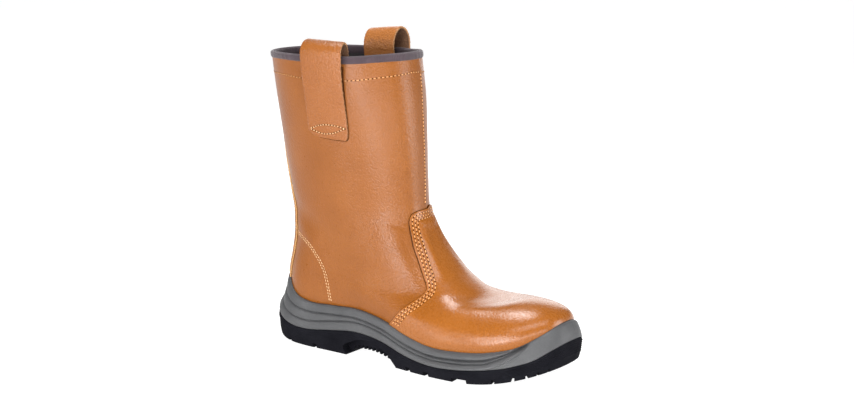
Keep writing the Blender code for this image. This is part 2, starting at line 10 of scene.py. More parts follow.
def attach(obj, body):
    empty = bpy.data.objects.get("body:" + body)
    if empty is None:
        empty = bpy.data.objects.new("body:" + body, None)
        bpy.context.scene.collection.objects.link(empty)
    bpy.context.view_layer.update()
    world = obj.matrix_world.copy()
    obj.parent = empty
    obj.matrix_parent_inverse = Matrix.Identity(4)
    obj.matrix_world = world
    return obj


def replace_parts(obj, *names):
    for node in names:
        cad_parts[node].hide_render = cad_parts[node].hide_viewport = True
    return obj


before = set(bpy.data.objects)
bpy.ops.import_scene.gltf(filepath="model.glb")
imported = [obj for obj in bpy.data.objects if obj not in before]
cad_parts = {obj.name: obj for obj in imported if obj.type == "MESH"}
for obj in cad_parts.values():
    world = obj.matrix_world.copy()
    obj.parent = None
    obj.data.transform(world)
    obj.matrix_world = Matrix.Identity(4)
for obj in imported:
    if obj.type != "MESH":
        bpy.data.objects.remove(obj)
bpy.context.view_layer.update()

# Sizes shared with the part's source, in millimetres, with X from heel to toe and Y to the inner side.
MM = 0.001
ORIGIN = np.array([151.63, 0.62, 0.0])
RING_FIELDS = ("back_x", "back_z", "side_z", "front_x", "front_z", "heel_half", "ball_half",
               "swing", "heel_round", "toe_round", "blunt", "waist")
RINGS = np.array([
    (17.0, 30.0, 17.0, 288.0, 31.0, 29.0, 43.0, 8.0, 34.0, 84.0, 2.3, 6.0),
    (15.5, 37.0, 24.0, 293.5, 40.0, 33.5, 49.0, 8.0, 36.0, 86.0, 2.3, 5.0),
    (14.2, 44.0, 30.0, 295.5, 48.0, 35.0, 51.5, 8.0, 37.0, 86.0, 2.3, 4.0),
    (13.4, 50.0, 35.5, 294.5, 54.5, 35.5, 51.5, 8.0, 38.0, 87.0, 2.25, 3.0),
    (13.2, 55.0, 41.0, 289.0, 59.8, 35.5, 50.5, 8.0, 39.0, 88.0, 2.2, 2.0),
    (13.2, 60.0, 46.0, 278.0, 63.8, 35.5, 48.5, 7.5, 40.0, 90.0, 2.1, 1.0),
    (13.6, 66.0, 51.5, 261.0, 65.0, 35.2, 45.5, 7.0, 41.0, 92.0, 2.05, 0.0),
    (14.5, 73.0, 57.5, 240.0, 61.8, 34.8, 42.5, 6.5, 42.0, 93.0, 2.05, 0.0),
    (15.9, 81.0, 65.0, 219.5, 62.8, 34.3, 40.0, 6.0, 44.0, 94.0, 2.15, 0.0),
    (17.2, 90.0, 77.0, 202.0, 70.8, 33.8, 38.5, 5.0, 46.0, 92.0, 2.3, 0.0),
    (18.3, 100.0, 89.5, 187.0, 81.0, 33.5, 38.0, 4.0, 48.0, 88.0, 2.4, 0.0),
    (18.8, 112.0, 103.5, 173.0, 96.0, 33.8, 38.0, 3.0, 51.0, 83.0, 2.4, 0.0),
    (18.0, 126.0, 118.0, 162.0, 111.0, 35.0, 38.5, 2.3, 54.0, 78.0, 2.4, 0.0),
    (14.8, 144.0, 136.5, 154.5, 130.0, 37.5, 40.0, 1.5, 59.0, 75.0, 2.3, 0.0),
    (10.0, 170.0, 164.0, 152.5, 158.0, 41.5, 43.0, 0.7, 66.0, 73.0, 2.2, 0.0),
    (6.0, 200.0, 195.0, 151.2, 190.0, 46.0, 46.5, 0.0, 70.0, 73.0, 2.15, 0.0),
    (1.8, 236.0, 233.0, 147.8, 230.0, 51.0, 51.0, 0.0, 72.5, 72.5, 2.15, 0.0),
    (-1.6, 268.0, 268.0, 141.8, 268.0, 53.0, 53.0, 0.0, 71.7, 71.7, 2.15, 0.0),
])
HEEL_POWER = 2.2
DROP_START = 0.22
DROP_END = 0.62
FRONT_LIFT = 2.2
INNER_TOE = 0.85
OUTER_WAIST = 0.6
INNER_WAIST = 1.4
SEAM_RING = (1.0, 0.0, 0.0, 305.0, 0.0, 41.2, 57.0, 7.0, 43.0, 93.0, 2.3, 5.0)
GROUND_RING = (2.5, 0.0, 0.0, 303.0, 0.0, 40.5, 56.0, 7.0, 41.0, 91.0, 2.3, 5.0)
SIDE_FIELDS = ("x", "rim_z", "seam_z", "upper_groove", "lower_groove")
SIDE = np.array([
    (0.0, 67.0, 30.0, 0.33, 0.66),
    (12.0, 66.5, 25.0, 0.33, 0.66),
    (19.0, 62.5, 22.5, 0.33, 0.66),
    (26.0, 55.0, 20.3, 0.32, 0.66),
    (36.0, 47.0, 18.0, 0.31, 0.66),
    (50.0, 42.5, 16.8, 0.31, 0.66),
    (80.0, 42.5, 20.0, 0.33, 0.60),
    (110.0, 44.0, 23.5, 0.36, 0.54),
    (142.0, 39.5, 21.0, 0.39, 0.56),
    (170.0, 31.0, 14.0, 0.42, 0.60),
    (198.0, 25.5, 10.5, 0.44, 0.63),
    (222.0, 26.0, 11.2, 0.44, 0.64),
    (250.0, 29.0, 14.8, 0.44, 0.65),
    (275.0, 36.5, 20.5, 0.44, 0.65),
    (290.0, 47.0, 26.5, 0.44, 0.65),
    (300.0, 56.5, 34.0, 0.44, 0.65),
    (310.0, 61.0, 42.0, 0.44, 0.65),
])
LIP, TAB_LIP, TAB_SPAN = 3.2, 1.2, 40.0
TOE_LIP, TOE_LIP_START, TOE_LIP_SPAN = 3.9, 280.0, 14.0
LIP_INSET, MIDSOLE_FLOOR, CUP_GAP, GAP, WALL = 5.0, 5.0, 0.5, 0.3, 2.2
WIDEN_REACH = 36.0
SPRING_START, SPRING_SPAN, TOE_SPRING = 222.0, 83.0, 18.0
HEEL_BEVEL, HEEL_BEVEL_SPAN = 7.0, 62.0
SHANK_PROFILE = ((97.0, -6.0), (98.0, 0.0), (100.5, 2.8), (104.5, 5.3), (110.0, 6.4), (118.0, 6.9),
                 (126.0, 6.9), (134.0, 6.0), (142.0, 4.3), (150.0, 2.0), (157.0, 0.0), (160.0, -6.0))
ARCH_PROFILE = ((99.8, 1.2), (96.4, 4.2), (95.6, 7.2), (98.4, 10.6), (107.0, 14.6), (115.8, 17.6),
                (126.2, 18.6), (138.1, 16.5), (148.3, 11.8), (154.6, 6.4), (158.8, 1.4))
ARCH_INSET = 9.0
RIB_X, RIB_WIDTH, RIB_DEPTH = np.arange(103.5, 151.0, 4.7), 2.6, 3.0
NOTCHES = ((32.0, 3.6, 3.4), (62.2, 4.4, 4.4), (173.6, 5.0, 4.4), (194.0, 5.4, 4.4), (227.6, 14.5, 4.2),
           (258.1, 2.8, 4.4), (273.8, 2.8, 4.0), (284.0, 2.4, 3.4), (291.0, 2.2, 3.0), (297.0, 2.0, 2.8))
NOTCH_LENGTH, NOTCH_OVERRUN = 17.0, 6.0
CHANNEL_INSET, CHANNEL_WIDTH, CHANNEL_DEPTH = 20.0, 4.5, 4.5
CHANNEL_RUNS = ((20.0, 84.0), (170.0, 286.0))
CROSS_X, CROSS_WIDTH = (48.0, 184.0, 207.0, 228.0, 247.0, 265.0), 4.0
VAMP_EDGE = np.array([(149.5, 38.6), (155.4, 45.0), (162.5, 53.0), (172.5, 61.5), (177.5, 68.0),
                      (176.8, 73.0), (171.4, 81.5), (165.0, 92.5), (158.0, 105.0), (152.5, 119.5),
                      (151.0, 127.0), (153.0, 132.5), (160.0, 135.5)])
VAMP_RISE = ((200.0, 137.5), (400.0, 140.0))
RIM_STEP, VAMP_FOOT, STRIP_FOOT = 0.002, 0.0012, 0.045
INNER_BACK, INNER_START, INNER_SPAN = 7.0, 6.0, 12.0
COLLAR_Z = RINGS[-1][1]
COLLAR_START, COLLAR_SPAN = 205.0, 60.0
COLLAR_RISE, RISE_START, RISE_SPAN = 2.4, 105.0, 38.0
COLLAR_DIP, DIP_SPAN = 0.9, 35.0
STRIP_HALF = ((40.0, 60.0, 100.0, 120.0, 140.0, 180.0, 270.0), (26.5, 27.5, 27.5, 25.0, 21.0, 17.5, 15.0))
LOOPS = {"pull_loop_outer": (-1, 87.0, 12.6, -0.13), "pull_loop_inner": (1, 77.0, 17.4, 0.19)}
LOOP_WIDTH, LOOP_THICK = 37.0, 2.0
LOOP_PATH = np.array([
    (66.5, 0.0, 0.6, 1.1), (64.0, 0.0, 0.6, 1.1), (59.0, 0.0, 0.6, 1.1), (49.0, 0.0, 0.7, 1.09),
    (37.0, 0.0, 1.8, 1.06), (23.0, 0.0, 4.0, 1.02), (10.0, 0.0, 6.2, 1.0), (0.0, 0.0, 7.0, 1.0),
    (0.0, 0.47, 6.6, 1.0), (0.0, 0.85, 3.2, 1.0), (0.0, 1.0, -2.2, 1.0), (0.0, 0.85, -7.6, 1.0),
    (0.0, 0.47, -11.2, 1.0), (0.0, 0.0, -11.8, 1.0), (10.0, 0.0, -10.4, 1.0), (26.0, 0.0, -7.4, 1.0),
    (40.0, 0.0, -5.4, 1.0),
])
INSOLE_PROFILE = ((0.6, 0.0), (0.0, 0.7), (0.0, 2.0), (0.5, 2.8), (1.4, 3.0), (9.0, 2.7))
LEATHER_THICK = 1.1
LINING_OUTSIDE, LINING_TOP = 1.25, 0.995

# Fineness of the surfaces and lines.
DENSE = 401
GRID_U = 960
GRID_V = 700
LINE_STEP = 1.5

# Creases of the leather: points (x, z) on one side (-1 outer, 1 inner) or (x, y, z), height and width.
BESIDE_VAMP = ((150, 130), (149, 119), (154, 104), (161, 91.5), (167.5, 80.5), (173, 71), (170, 63))
OVER_COUNTER = ((24, 116), (40, 108), (55, 99), (68, 86), (78, 72))
CREASES = (
    (-1, ((139, 122), (136, 104), (137, 88), (140, 73), (141, 54)), 1.6, 18.0),
    (1, ((149, 120), (147, 104), (150, 88), (155, 73), (152, 58)), 1.2, 9.0),
    (-1, BESIDE_VAMP, -0.6, 4.5),
    (1, BESIDE_VAMP, -1.0, 4.5),
    (-1, OVER_COUNTER, 0.7, 7.0),
    (1, OVER_COUNTER, 0.7, 7.0),
    (-1, ((22, 132), (40, 124), (60, 114), (80, 100)), -0.9, 9.0),
    (1, ((22, 130), (42, 122), (64, 110), (84, 98)), -0.8, 9.0),
    (0, ((246, -45, 36), (247, -38, 46), (243, -27, 56), (240, -10, 62), (240, 12, 62), (243, 32, 56)),
     -0.35, 10.0),
    (0, ((212, -34, 52), (214, -22, 61), (216, -6, 65), (216, 12, 65), (212, 30, 60)), -0.25, 4.5),
    (0, ((222, -30, 53), (223, -18, 60), (224, -4, 63), (224, 14, 63), (221, 30, 58)), -0.2, 4.0),
)
CREASE_TAPER = 0.6
RIM_CLEAR, RIM_FADE, COLLAR_FADE = 1.0, 8.0, 10.0
# Soft domes of the leather: point (x, y, z), height and width.
DOMES = (((196.0, -25.0, 64.5), 1.8, 12.0),)
# Front seam, and the step of its lapped edge beside the stitches.
FRONT_SEAM = ((142.6, 12.7, 252.0), (146.4, 9.5, 220.0), (149.4, 8.3, 185.0), (150.9, 7.7, 158.0),
              (153.3, 5.9, 136.0))
LAP_DEPTH, LAP_BESIDE, LAP_LEVEL, LAP_FADE = 0.8, 3.0, 6.0, 14.0
LAP_X, LAP_Z = 120.0, 125.0
COUNTER_LINE = ((32.2, 102.8), (47.7, 96.7), (58.6, 88.3), (69.8, 73.3), (75.0, 58.5), (77.5, 44.5))


def smooth(share):
    """Ease from 0 to 1 with level ends."""
    share = np.clip(share, 0.0, 1.0)
    return share * share * (3.0 - 2.0 * share)


def bell(far, width):
    """Soft bump, 1 in its middle and less with the distance from it."""
    return np.exp(-((far / width) ** 2))


def arc(share):
    """Quarter round from 0 to 1, steep at its start and level at its end."""
    return np.sqrt(np.clip(1.0 - (1.0 - np.clip(share, 0.0, 1.0)) ** 2, 0.0, 1.0))


def catmull(rows, place):
    """Smooth curve through the rows of a table at the places 0 to len - 1."""
    rows = np.asarray(rows, float)
    last = len(rows) - 1
    place = np.clip(np.atleast_1d(place), 0.0, last)
    low = np.minimum(place.astype(int), last - 1)
    t = (place - low)[:, None]
    a, b, c, d = (rows[np.clip(low + i, 0, last)] for i in (-1, 0, 1, 2))
    return b + 0.5 * ((c - a) * t + (2 * a - 5 * b + 4 * c - d) * t**2 + (3 * b - a - 3 * c + d) * t**3)


def ring_height(size, share):
    """Height of a ring along its length: level at the heel, lower at the ball, lifted at its front tip."""
    length = size["front_x"] - size["back_x"]
    front = np.clip(1.0 - (1.0 - share) * length / size["toe_round"], 0.0, 1.0)
    drop = smooth((share - DROP_START) / (DROP_END - DROP_START))
    side = size["back_z"] + (size["side_z"] - size["back_z"]) * drop
    return side + (size["front_z"] - size["side_z"]) * front**FRONT_LIFT


def ring_side(sizes, side):
    """Dense points of one side of a ring from back to front; side is -1 outer or 1 inner."""
    size = dict(zip(RING_FIELDS, sizes))
    length = size["front_x"] - size["back_x"]
    share = 0.5 - 0.5 * np.cos(np.linspace(0.0, math.pi, DENSE))
    run = share * length
    toe = size["toe_round"] * (INNER_TOE if side > 0 else 1.0)
    heel = size["heel_round"]
    waist = size["waist"] * (INNER_WAIST if side > 0 else OUTER_WAIST)
    centre, reach = 0.5 * (heel + length - toe), max(0.5 * (length - heel - toe), WIDEN_REACH)
    middle = np.clip((run - centre + reach) / (2.0 * reach), 0.0, 1.0)
    half = size["heel_half"] + (size["ball_half"] - size["heel_half"]) * smooth(middle)
    half = half - waist * np.sin(math.pi * middle) ** 2
    back = np.clip(1.0 - run / heel, 0.0, 1.0)
    front = np.clip(1.0 - (length - run) / toe, 0.0, 1.0)
    half = half * (1.0 - back**HEEL_POWER) ** (1.0 / HEEL_POWER)
    half = half * (1.0 - front ** size["blunt"]) ** (1.0 / size["blunt"])
    y = size["swing"] * smooth(share) + side * half
    return np.stack([size["back_x"] + run, y, ring_height(size, share)], axis=1)


def ring_points(sizes, u):
    """Points of a ring at the shares u of the way round it."""
    u = np.mod(u, 1.0)
    points = np.empty((len(u), 3))
    for side, there, share in ((-1, u <= 0.5, 2.0 * u), (1, u > 0.5, 2.0 - 2.0 * u)):
        line = ring_side(sizes, side)
        along = np.concatenate([[0.0], np.cumsum(np.hypot(*np.diff(line[:, :2], axis=0).T))])
        for axis in range(3):
            points[there, axis] = np.interp(share[there], along / along[-1], line[:, axis])
    return points


def side_value(name, x):
    """Value of one column of the side table at x, eased between its rows."""
    rows = SIDE[:, SIDE_FIELDS.index(name)]
    places = SIDE[:, 0]
    slopes = np.gradient(rows, places)
    x = np.clip(x, places[0], places[-1])
    low = np.clip(np.searchsorted(places, x, side="right") - 1, 0, len(places) - 2)
    span = places[low + 1] - places[low]
    t = (x - places[low]) / span
    start = (1.0 + 2.0 * t) * (1.0 - t) ** 2 * rows[low] + t * (1.0 - t) ** 2 * span * slopes[low]
    end = t * t * (3.0 - 2.0 * t) * rows[low + 1] + t * t * (t - 1.0) * span * slopes[low + 1]
    return start + end


def bed_z(x):
    """Height of the foot bed along the boot."""
    size = dict(zip(RING_FIELDS, RINGS[0]))
    return ring_height(size, np.clip((x - size["back_x"]) / (size["front_x"] - size["back_x"]), 0.0, 1.0))


def ground_z(x):
    """Height of the tread: flat under ball and heel, lifted at the toe, bevelled behind the heel."""
    spring = TOE_SPRING * np.clip((x - SPRING_START) / SPRING_SPAN, 0.0, None) ** 2
    return spring + HEEL_BEVEL * np.clip(1.0 - x / HEEL_BEVEL_SPAN, 0.0, None) ** 2


def at_height(points, z):
    """The same points at the heights z."""
    return np.column_stack([points[:, 0], points[:, 1], z])


def unit(vectors):
    """Vectors of length one."""
    return vectors / (np.linalg.norm(vectors, axis=-1, keepdims=True) + 1e-12)


def plan_outward(ring):
    """Unit level directions out of a closed ring."""
    along = np.roll(ring, -1, axis=0) - np.roll(ring, 1, axis=0)
    return unit(np.column_stack([along[:, 1], -along[:, 0], np.zeros(len(ring))]))


def grid_normals(grid):
    """Unit directions out of a grid of the upper, whose last column repeats its first."""
    core = grid[:, :-1]
    along = np.roll(core, -1, axis=1) - np.roll(core, 1, axis=1)
    out = unit(np.cross(along, np.gradient(core, axis=0)))
    return np.concatenate([out, out[:, :1]], axis=1)


def sample(grid, u, v):
    """Values of a grid at the shares u and v."""
    u = np.mod(np.asarray(u, float), 1.0) * GRID_U
    v = np.clip(np.asarray(v, float), 0.0, 1.0) * (GRID_V - 1)
    i = np.minimum(u.astype(int), GRID_U - 1)
    j = np.minimum(v.astype(int), GRID_V - 2)
    s, t = u - i, v - j
    if grid.ndim == 3:
        s, t = s[..., None], t[..., None]
    low = grid[j, i] * (1 - s) + grid[j, i + 1] * s
    high = grid[j + 1, i] * (1 - s) + grid[j + 1, i + 1] * s
    return low * (1 - t) + high * t


grid_u = np.arange(GRID_U + 1) / GRID_U
grid_v = np.linspace(0.0, 1.0, GRID_V)
BASE = np.array([ring_points(catmull(RINGS, v * (len(RINGS) - 1))[0], grid_u) for v in grid_v])
BASE[..., 2] += smooth((BASE[..., 2] - COLLAR_START) / COLLAR_SPAN) * (
    COLLAR_RISE * smooth((BASE[..., 0] - RISE_START) / RISE_SPAN)
    - COLLAR_DIP * smooth((DIP_SPAN - BASE[..., 0]) / DIP_SPAN))
BASE_OUT = grid_normals(BASE)


class Finder:
    """Finds the shares u and v of the upper's point next to a given place."""

    SKIP, TRIES, STEP, LIMIT = 2, 4, 0.002, 0.004

    def __init__(self, grid):
        self.grid = grid
        rows, columns = np.arange(0, GRID_V, self.SKIP), np.arange(0, GRID_U, self.SKIP)
        self.index = [(r, c) for r in rows for c in columns]
        self.whole = kdtree.KDTree(len(self.index))
        self.sides = {-1: kdtree.KDTree(len(self.index)), 1: kdtree.KDTree(len(self.index))}
        for n, (r, c) in enumerate(self.index):
            p = grid[r, c]
            self.whole.insert(p, n)
            self.sides[-1 if 2 * c <= GRID_U else 1].insert((p[0], 0.0, p[2]), n)
        for tree in (self.whole, *self.sides.values()):
            tree.balance()

    def shares(self, places, side=0):
        """Shares of the points at the places: (x, y, z), or (x, z) seen from one side."""
        found = []
        for place in places:
            target = np.array(place, float)
            if side and len(target) == 2:
                target = np.array([target[0], 0.0, target[1]])
            tree = self.sides[side] if side else self.whole
            r, c = self.index[tree.find(target)[1]]
            found.append(self.refine(c / GRID_U, r / (GRID_V - 1), target, side))
        return np.array(found)

    def refine(self, u, v, target, side):
        """Closer shares by a few least-square steps."""
        keep = np.array([1.0, 0.0 if side else 1.0, 1.0])
        step, limit = self.STEP, self.LIMIT
        for _ in range(self.TRIES):
            p = sample(self.grid, u, v)
            du = (sample(self.grid, u + step, v) - sample(self.grid, u - step, v)) / (2.0 * step)
            dv = (sample(self.grid, u, v + step) - sample(self.grid, u, v - step)) / (2.0 * step)
            matrix = np.stack([du * keep, dv * keep], axis=1)
            move = np.linalg.lstsq(matrix, (target - p) * keep, rcond=None)[0]
            u = u + np.clip(move[0], -limit, limit)
            v = np.clip(v + np.clip(move[1], -limit, limit), 0.0, 1.0)
        return u, v


def resample(points, step=None, count=None):
    """Points at even steps along a line."""
    points = np.asarray(points, float)
    along = np.concatenate([[0.0], np.cumsum(np.linalg.norm(np.diff(points, axis=0), axis=1))])
    count = count or max(int(round(along[-1] / step)) + 1, 2)
    places = np.linspace(0.0, along[-1], count)
    return np.stack([np.interp(places, along, points[:, k]) for k in range(points.shape[1])], axis=1)


def through(points, count):
    """A count of points on the smooth line through a few points."""
    return catmull(points, np.linspace(0, len(points) - 1, count))


def curve(points, step):
    """Smooth line through a few points, in even steps."""
    return resample(through(points, 40 * len(points)), step)


def relief():
    """Height of creases, domes and the lapped front seam over the upper's plain surface."""
    total = np.zeros(BASE.shape[:2])
    for side, line, height, width in CREASES:
        points = sample(BASE, *finder.shares(curve(line, LINE_STEP), side).T)
        taper = np.sin(np.linspace(0.0, math.pi, len(points))) ** CREASE_TAPER
        low, high = points.min(0) - 3 * width, points.max(0) + 3 * width
        near = np.all((BASE > low) & (BASE < high), axis=2)
        spots = BASE[near]
        best = np.full(len(spots), 1e9)
        share = np.zeros(len(spots))
        for point, weight in zip(points, taper):
            far = np.sum((spots - point) ** 2, axis=1)
            closer = far < best
            best[closer] = far[closer]
            share[closer] = weight
        total[near] += height * share * np.exp(-best / width**2)
    for place, height, width in DOMES:
        total += height * np.exp(-np.sum((BASE - place) ** 2, axis=2) / width**2)
    seam = np.array(FRONT_SEAM)
    over = BASE[..., 1] - (np.interp(BASE[..., 2], seam[::-1, 2], seam[::-1, 1]) + LAP_BESIDE)
    front = (BASE[..., 0] > LAP_X) & (BASE[..., 2] > LAP_Z)
    lap = LAP_DEPTH * smooth(over / LAP_DEPTH) * (1.0 - smooth((over - LAP_LEVEL) / LAP_FADE))
    total -= np.where(front, lap, 0.0)
    fade = smooth((BASE[..., 2] - side_value("rim_z", BASE[..., 0]) - RIM_CLEAR) / RIM_FADE)
    return total * fade * smooth((COLLAR_Z - BASE[..., 2]) / COLLAR_FADE)


finder = Finder(BASE)
SKIN = BASE + relief()[..., None] * BASE_OUT
SKIN_OUT = grid_normals(SKIN)
finder = Finder(SKIN)


def skin(u, v, height=0.0):
    """Points of the leather's face at the shares u and v, raised by a height."""
    return sample(SKIN, u, v) + np.asarray(height)[..., None] * unit(sample(SKIN_OUT, u, v))


def on_skin(places, side=0):
    """Points and outward directions of the leather next to places (x, y, z), or (x, z) from one side."""
    u, v = finder.shares(places, side).T
    return sample(SKIN, u, v), unit(sample(SKIN_OUT, u, v))


def round_shares(columns):
    """Even shares u of the way round the boot."""
    return np.arange(columns) / columns


def level_out(u, v):
    """Level unit directions out of the upper at the shares u and v."""
    return unit(sample(BASE_OUT, u, v) * (1.0, 1.0, 0.0))


def crossing(values):
    """Share v at which each column of a grid of values first turns positive."""
    found = np.argmax(values > 0.0, axis=0)
    found = np.where(found == 0, np.where(values[0] > 0.0, 0, GRID_V - 1), found)
    before = np.maximum(found - 1, 0)
    columns = np.arange(values.shape[1])
    a, b = values[before, columns], values[found, columns]
    t = np.where(b > a, -a / np.where(b > a, b - a, 1.0), 0.0)
    return (before + np.clip(t, 0.0, 1.0)) / (GRID_V - 1)


RIM = crossing(BASE[..., 2] - side_value("rim_z", BASE[..., 0]))


def share_at(values, u):
    """Values given on the grid's columns at the shares u."""
    return np.interp(np.mod(u, 1.0), grid_u, values)


def drop_share(drop):
    """Share v at a drop below the collar, measured at the back."""
    return np.interp(COLLAR_Z - np.asarray(drop, float), BASE[:, 0, 2], grid_v)


# Meshes.

def closed_mesh(name, points, faces):
    """Mesh given in millimetres with its faces turned outward."""
    mesh = bpy.data.meshes.new(name)
    mesh.from_pydata((points * MM).tolist(), [], [tuple(int(i) for i in face) for face in faces])
    work = bmesh.new()
    work.from_mesh(mesh)
    bmesh.ops.recalc_face_normals(work, faces=work.faces)
    work.to_mesh(mesh)
    work.free()
    return mesh


def placed(name, data):
    """Object with a mesh, light or camera, put in the scene."""
    item = bpy.data.objects.new(name, data)
    bpy.context.scene.collection.objects.link(item)
    return item


def add_piece(name, points, faces, materials, indices=None, slot=None, node=None, sharp=None):
    """Mesh piece that rides on the boot, given in millimetres, with an optional material of each face."""
    mesh = closed_mesh(name, points - ORIGIN, faces)
    for material in materials:
        mesh.materials.append(material)
    if indices is not None:
        mesh.polygons.foreach_set("material_index", np.asarray(indices, np.int32))
    mesh.shade_smooth()
    if sharp is not None:
        mesh.set_sharp_from_angle(angle=math.radians(sharp))
    item = placed(name, mesh)
    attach(item, "root")
    if node:
        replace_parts(item, node)
    return item


def hoop_faces(rows, columns, closed=True):
    """Quads between rows of a closed ring; the last row joins the first where asked."""
    r, c = np.meshgrid(np.arange(rows if closed else rows - 1), np.arange(columns), indexing="ij")
    here, ahead = r * columns, (r + 1) % rows * columns
    after = (c + 1) % columns
    return np.stack([here + c, here + after, ahead + after, ahead + c], axis=-1).reshape(-1, 4)


def bar(rings):
    """Points and faces of a four-sided bar through rows of four points, closed at both ends."""
    last = 4 * (len(rings) - 1)
    faces = [tuple(face) for face in hoop_faces(len(rings), 4, closed=False)]
    return np.concatenate(rings), faces + [(3, 2, 1, 0), (last, last + 1, last + 2, last + 3)]


def prism(first, second):
    """Points and faces of a block between two outlines of the same count."""
    count = len(first)
    faces = [tuple(range(count)), tuple(range(2 * count - 1, count - 1, -1))]
    faces += [(k, (k + 1) % count, count + (k + 1) % count, count + k) for k in range(count)]
    return np.concatenate([first, second]), faces


def capped(rings):
    """Points and faces of a solid through the rings, closed across its first and last one."""
    columns = len(rings[0])
    faces = [tuple(f) for f in hoop_faces(len(rings), columns, closed=False)]
    half = columns // 2
    for first in (0, (len(rings) - 1) * columns):
        faces.append((first, first + 1, first + columns - 1))
        for k in range(1, half - 1):
            faces.append((first + k, first + k + 1, first + columns - k - 1, first + columns - k))
        faces.append((first + half - 1, first + half, first + half + 1))
    return np.concatenate(rings), faces


def slab(lower, upper):
    """Points, faces and a mark of the edge faces of a sheet between two grids of the same size."""
    rows, columns = lower.shape[:2]
    size = rows * columns
    r, c = np.meshgrid(np.arange(rows - 1), np.arange(columns - 1), indexing="ij")
    a = (r * columns + c).ravel()
    top = np.stack([a, a + 1, a + columns + 1, a + columns], axis=1)
    edge = list(range(columns))
    edge += [k * columns + columns - 1 for k in range(1, rows)]
    edge += [(rows - 1) * columns + k for k in range(columns - 2, -1, -1)]
    edge += [k * columns for k in range(rows - 2, 0, -1)]
    edge = np.array(edge)
    after = np.roll(edge, -1)
    sides = np.stack([edge, after, after + size, edge + size], axis=1)
    faces = np.concatenate([top[:, ::-1], top + size, sides])
    marks = np.concatenate([np.zeros(2 * len(top)), np.ones(len(sides))])
    return np.concatenate([lower.reshape(-1, 3), upper.reshape(-1, 3)]), faces, marks


# Materials.

def tree_of(name):
    """New material with its node tree, its shader and the places on the object."""
    material = bpy.data.materials.new(name)
    material.use_nodes = True
    tree = material.node_tree
    place = tree.nodes.new("ShaderNodeTexCoord").outputs["Object"]
    return material, tree, tree.nodes["Principled BSDF"], place


def feed(node, **values):
    """Set a node's inputs: sockets are linked, other values are set."""
    for key, value in values.items():
        target = node.inputs[key.replace("_", " ")]
        if isinstance(value, bpy.types.NodeSocket):
            node.id_data.links.new(value, target)
        else:
            target.default_value = value


def add(tree, kind, settings=(), **values):
    """Node of a kind with its properties and inputs."""
    node = tree.nodes.new(kind)
    for key, value in dict(settings).items():
        setattr(node, key, value)
    feed(node, **values)
    return node


def noise(tree, place, scale, detail, rough=0.5):
    """Value of a noise over the places on the object."""
    node = add(tree, "ShaderNodeTexNoise", Vector=place, Scale=scale, Detail=detail, Roughness=rough)
    return node.outputs["Fac"]


def ramp(tree, source, stops):
    """Colour ramp fed by a value."""
    node = add(tree, "ShaderNodeValToRGB", Fac=source)
    elements = node.color_ramp.elements
    for element, (position, colour) in ((elements[0], stops[0]), (elements[1], stops[-1])):
        element.position = position
        element.color = (*colour, 1.0)
    for position, colour in stops[1:-1]:
        elements.new(position).color = (*colour, 1.0)
    return node.outputs["Color"]


def spread(tree, source, low, high, start=0.0, end=1.0):
    """Value moved from a range to another."""
    node = add(tree, "ShaderNodeMapRange", Value=source, From_Min=start, From_Max=end,
               To_Min=low, To_Max=high)
    return node.outputs["Result"]


def multiplied(tree, share, first, second):
    """First colour multiplied with a share of the second."""
    settings = {"data_type": "RGBA", "blend_type": "MULTIPLY"}
    return add(tree, "ShaderNodeMix", settings, Factor=share, A=first, B=second).outputs["Result"]


def bumped(tree, shader, layers):
    """Bumps one over the other: (height socket, strength, distance in metres)."""
    normal = None
    for height, strength, distance in layers:
        node = add(tree, "ShaderNodeBump", Strength=strength, Distance=distance, Height=height)
        if normal:
            feed(node, Normal=normal)
        normal = node.outputs["Normal"]
    feed(shader, Normal=normal)


def leather(name, dark, mid, light, rough, shine, depth, wave, grain):
    """Corrected-grain leather: soft mottling, pebble grain in bump and gloss."""
    material, tree, shader, place = tree_of(name)
    broad = noise(tree, place, 26.0, 4.0, 0.55)
    fine = noise(tree, place, 420.0, 3.0, 0.6)
    pores = noise(tree, place, 3200.0, 2.0)
    warp = noise(tree, place, 300.0, 2.0).node.outputs["Color"]
    push = add(tree, "ShaderNodeVectorMath", {"operation": "SCALE"}, Vector=warp, Scale=0.0009)
    moved = add(tree, "ShaderNodeVectorMath", {"operation": "ADD"}, Vector=place)
    tree.links.new(push.outputs["Vector"], moved.inputs[1])
    pebble = add(tree, "ShaderNodeTexVoronoi", {"feature": "SMOOTH_F1"}, Vector=moved.outputs["Vector"],
                 Scale=grain, Smoothness=0.6).outputs["Distance"]
    colour = ramp(tree, broad, ((0.30, dark), (0.5, mid), (0.72, light)))
    tint = ramp(tree, fine, ((0.3, (0.86, 0.84, 0.82)), (0.7, (1.06, 1.05, 1.04))))
    pits = ramp(tree, pebble, ((0.25, (1.0, 1.0, 1.0)), (0.75, (0.72, 0.66, 0.6))))
    colour = multiplied(tree, 0.15, multiplied(tree, 0.3, colour, tint), pits)
    gloss = spread(tree, fine, rough - 0.05, rough + 0.07, 0.3, 0.7)
    feed(shader, Base_Color=colour, Roughness=gloss, Specular_IOR_Level=shine)
    raised = spread(tree, pebble, 1.0, 0.0, 0.0, 0.9)
    bumped(tree, shader, ((fine, 0.25, wave), (raised, 0.55, depth), (pores, 0.2, 0.00004)))
    return material


